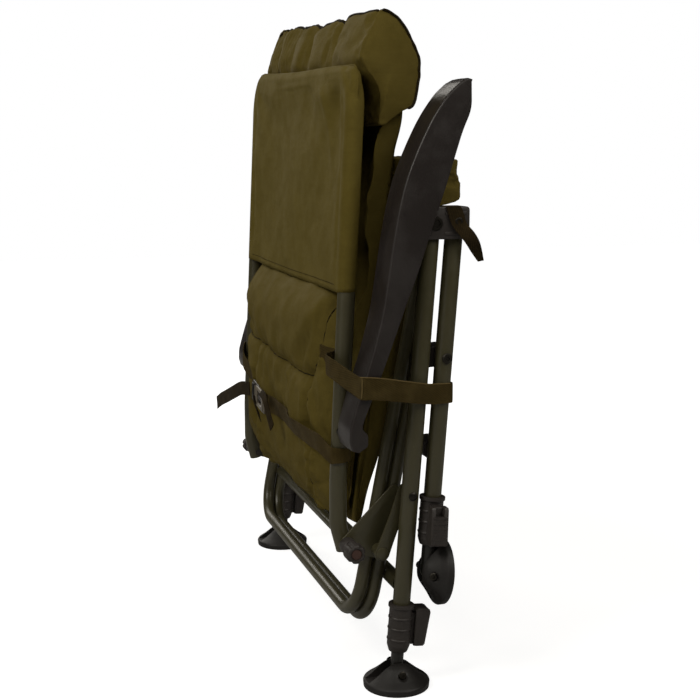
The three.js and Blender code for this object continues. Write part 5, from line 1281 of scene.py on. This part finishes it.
# The carry strap: sewn to the pad, across the tube and the armrest's rear, round its edge and on to the legs, as
# (x, y, z, half width)
carryRun = np.array([
    (-66, -197, 410, 12.5), (-70, -210, 408, 12.5), (-70.5, -225, 406.5, 12.5), (-71.6, -240, 404.8, 12.5),
    (-72.4, -254, 403, 12.5), (-69, -270, 400, 12.7), (-62, -292, 394, 13), (-55.5, -314, 388.6, 13.2),
    (-53.6, -322, 387.4, 13.3), (-52.4, -325.8, 387.2, 13.4), (-48, -327.2, 387, 13.4), (-40, -327, 386.6, 13.2),
    (-23.5, -326.6, 384.4, 13.2), (8, -323, 379, 12.6), (34, -315.4, 373.8, 12.4), (52, -313.4, 373, 12.2),
    (66, -310.8, 372.6, 12), (71, -302, 372.4, 12), (70, -290, 372.2, 12)])
carryRun[:3, 0] = onFace(backTree, carryRun[:3, 1], carryRun[:3, 2], 1.2)[:, 0]
halfWay = carryRun[:, 3:] * (0, 0, 1)
upper, lower = carryRun[:, :3] + halfWay, carryRun[:, :3] - halfWay
fit(ribbon("carryStrap", upper, lower, brownWebbing, 1.6, 220, 4, 0.3), "back", "brown_webbing", "carry_strap")
print("carry strap ready")

# A box of stitches holds it to the pad; a pale cord along its upper edge past the fold, and another down the fold, are
# painted highlight where the webbing's edge and bend catch the light
box = evenLoop([(-200, 419), (-226, 416), (-226, 395), (-200, 398)], 44)
seam = onFace(backTree, box[:, 0], box[:, 1], 2.7)
fit(stitches("carryStitches", np.vstack([seam, seam[:1]]), (0, 0, 0), oliveCloth, 3.6, 2.5, 0.4),
    "back", "olive_fabric")
foldEdge = [(-52.6, -326.6, 400.6), (-52.6, -326.9, 387), (-53.4, -326.6, 374.4)]
for name, run, count in (("carryEdgeHighlight", upper[8:17] + (-0.2, -0.4, 0.3), 130), ("carryFoldHighlight", foldEdge, 30)):
    fit(rod(name, smoothThrough(run, count), 0.8, edgeHighlightCord), "back", "brown_webbing")

# The cord tabs above the leg brackets, each with a turned eyelet, as (x, distance out, z) of both edges
tabLeft = np.array([(55, 317.2, 600), (58, 318.4, 588), (62, 319.6, 577), (70, 322.5, 566), (78, 323, 556),
                    (86, 321.5, 545), (95, 319.5, 534)])
tabRight = np.array([(73, 317.2, 600), (77, 318.4, 591), (80, 320.6, 580), (87, 326.5, 570), (93, 328, 560),
                     (98, 324.5, 549), (103, 319.5, 535)])
ring = [(2.4, -0.9), (4.8, -0.7), (5.2, 0.0), (4.8, 0.7), (2.4, 0.9)]
for label, side in sides:
    tab = ribbon(f"cordTab_{label}", tabLeft * (1, side, 1), tabRight * (1, side, 1), darkAndShadedWebbing, 1.5, 60, side, 0.35)
    fit(tab, "front_legs", "brown_webbing", f"bracket_tab_{label}")
    fit(turnedPiece(f"tabEyelet_{label}", ring, darkSteel, (70.5, side * 319.6, 582), (0, side, 0), 28, True, 0.3),
        "front_legs", "steel")
print("tabs ready")

# Dark binding along the pillow's top edge and round its ends
pillowTree = treeOf(pillowPiece)
edge = smoothThrough([(-4, 240, 836), (-4, 206, 848), (-4, 145, 849), (-4, 88, 842), (-3, 24, 835), (-4, -17, 838),
                      (-3, -65, 835), (-2, -98, 829), (-3, -120, 833), (-4, -176, 834), (-4, -240, 833)], 170)
edge = smoothThrough(nearest(pillowTree, edge, 0.4)[::3], 190)
fit(rod("pillowBinding", edge, 2.1, trimCloth, 8, 0.7), "back", "olive_fabric")
front = np.flatnonzero((outline[:, 0] > -5) & (outline[:, 1] > 713))
x, z = outline[front.min():front.max() + 1].T
for label, side in sides:
    run = np.stack([x + 0.8, 0 * x + side * 248.0, z + side * pillowSkew(z)], -1)
    run = smoothThrough(nearest(pillowTree, run, 0.7)[::2], 120)
    fit(rod(f"pillowPiping{label.capitalize()}", run, 1.8, trimCloth, 8), "back", "olive_fabric")
# thread lies in each groove of the back pad
for number, run in enumerate(backPad["seams"]):
    y, z = smoothThrough(run, 90).T
    inset = (z > 205) & (z < 488) & (np.abs(y) < 228)
    run = onFace(backTree, y[inset], z[inset], 0.2)
    fit(rod(f"padSeam{number}", run, 0.8, trimCloth), "back", "olive_fabric")
    fit(stitches(f"padStitches{number}", run, (-0.4, 4.2, 0.8), sleeveCloth, 3.8, 2.6, 0.45), "back", "olive_fabric")
# the seat pad's nose is bound along its top edge and sewn once below it
seatTree = treeOf(seatPiece)
for name, z, radius in (("noseBinding", 655.0, 1.8), ("noseSeam", 634.0, 0.9)):
    run = nearest(seatTree, [(130, y, z) for y in np.linspace(-238, 238, 120)], 0.2)
    fit(rod(name, run, radius, trimCloth), "seat", "olive_fabric")
# thread along the sleeve's hem
y = np.linspace(-236, 236, 150)
hem = onFace(treeOf(sleevePiece), y, 504 - hemSag(y), 0.3)
fit(stitches("hemStitches", hem, (0, 0, 0), trimCloth, 3.8, 2.6, 0.4), "back", "olive_fabric")
print("bindings and stitches ready")
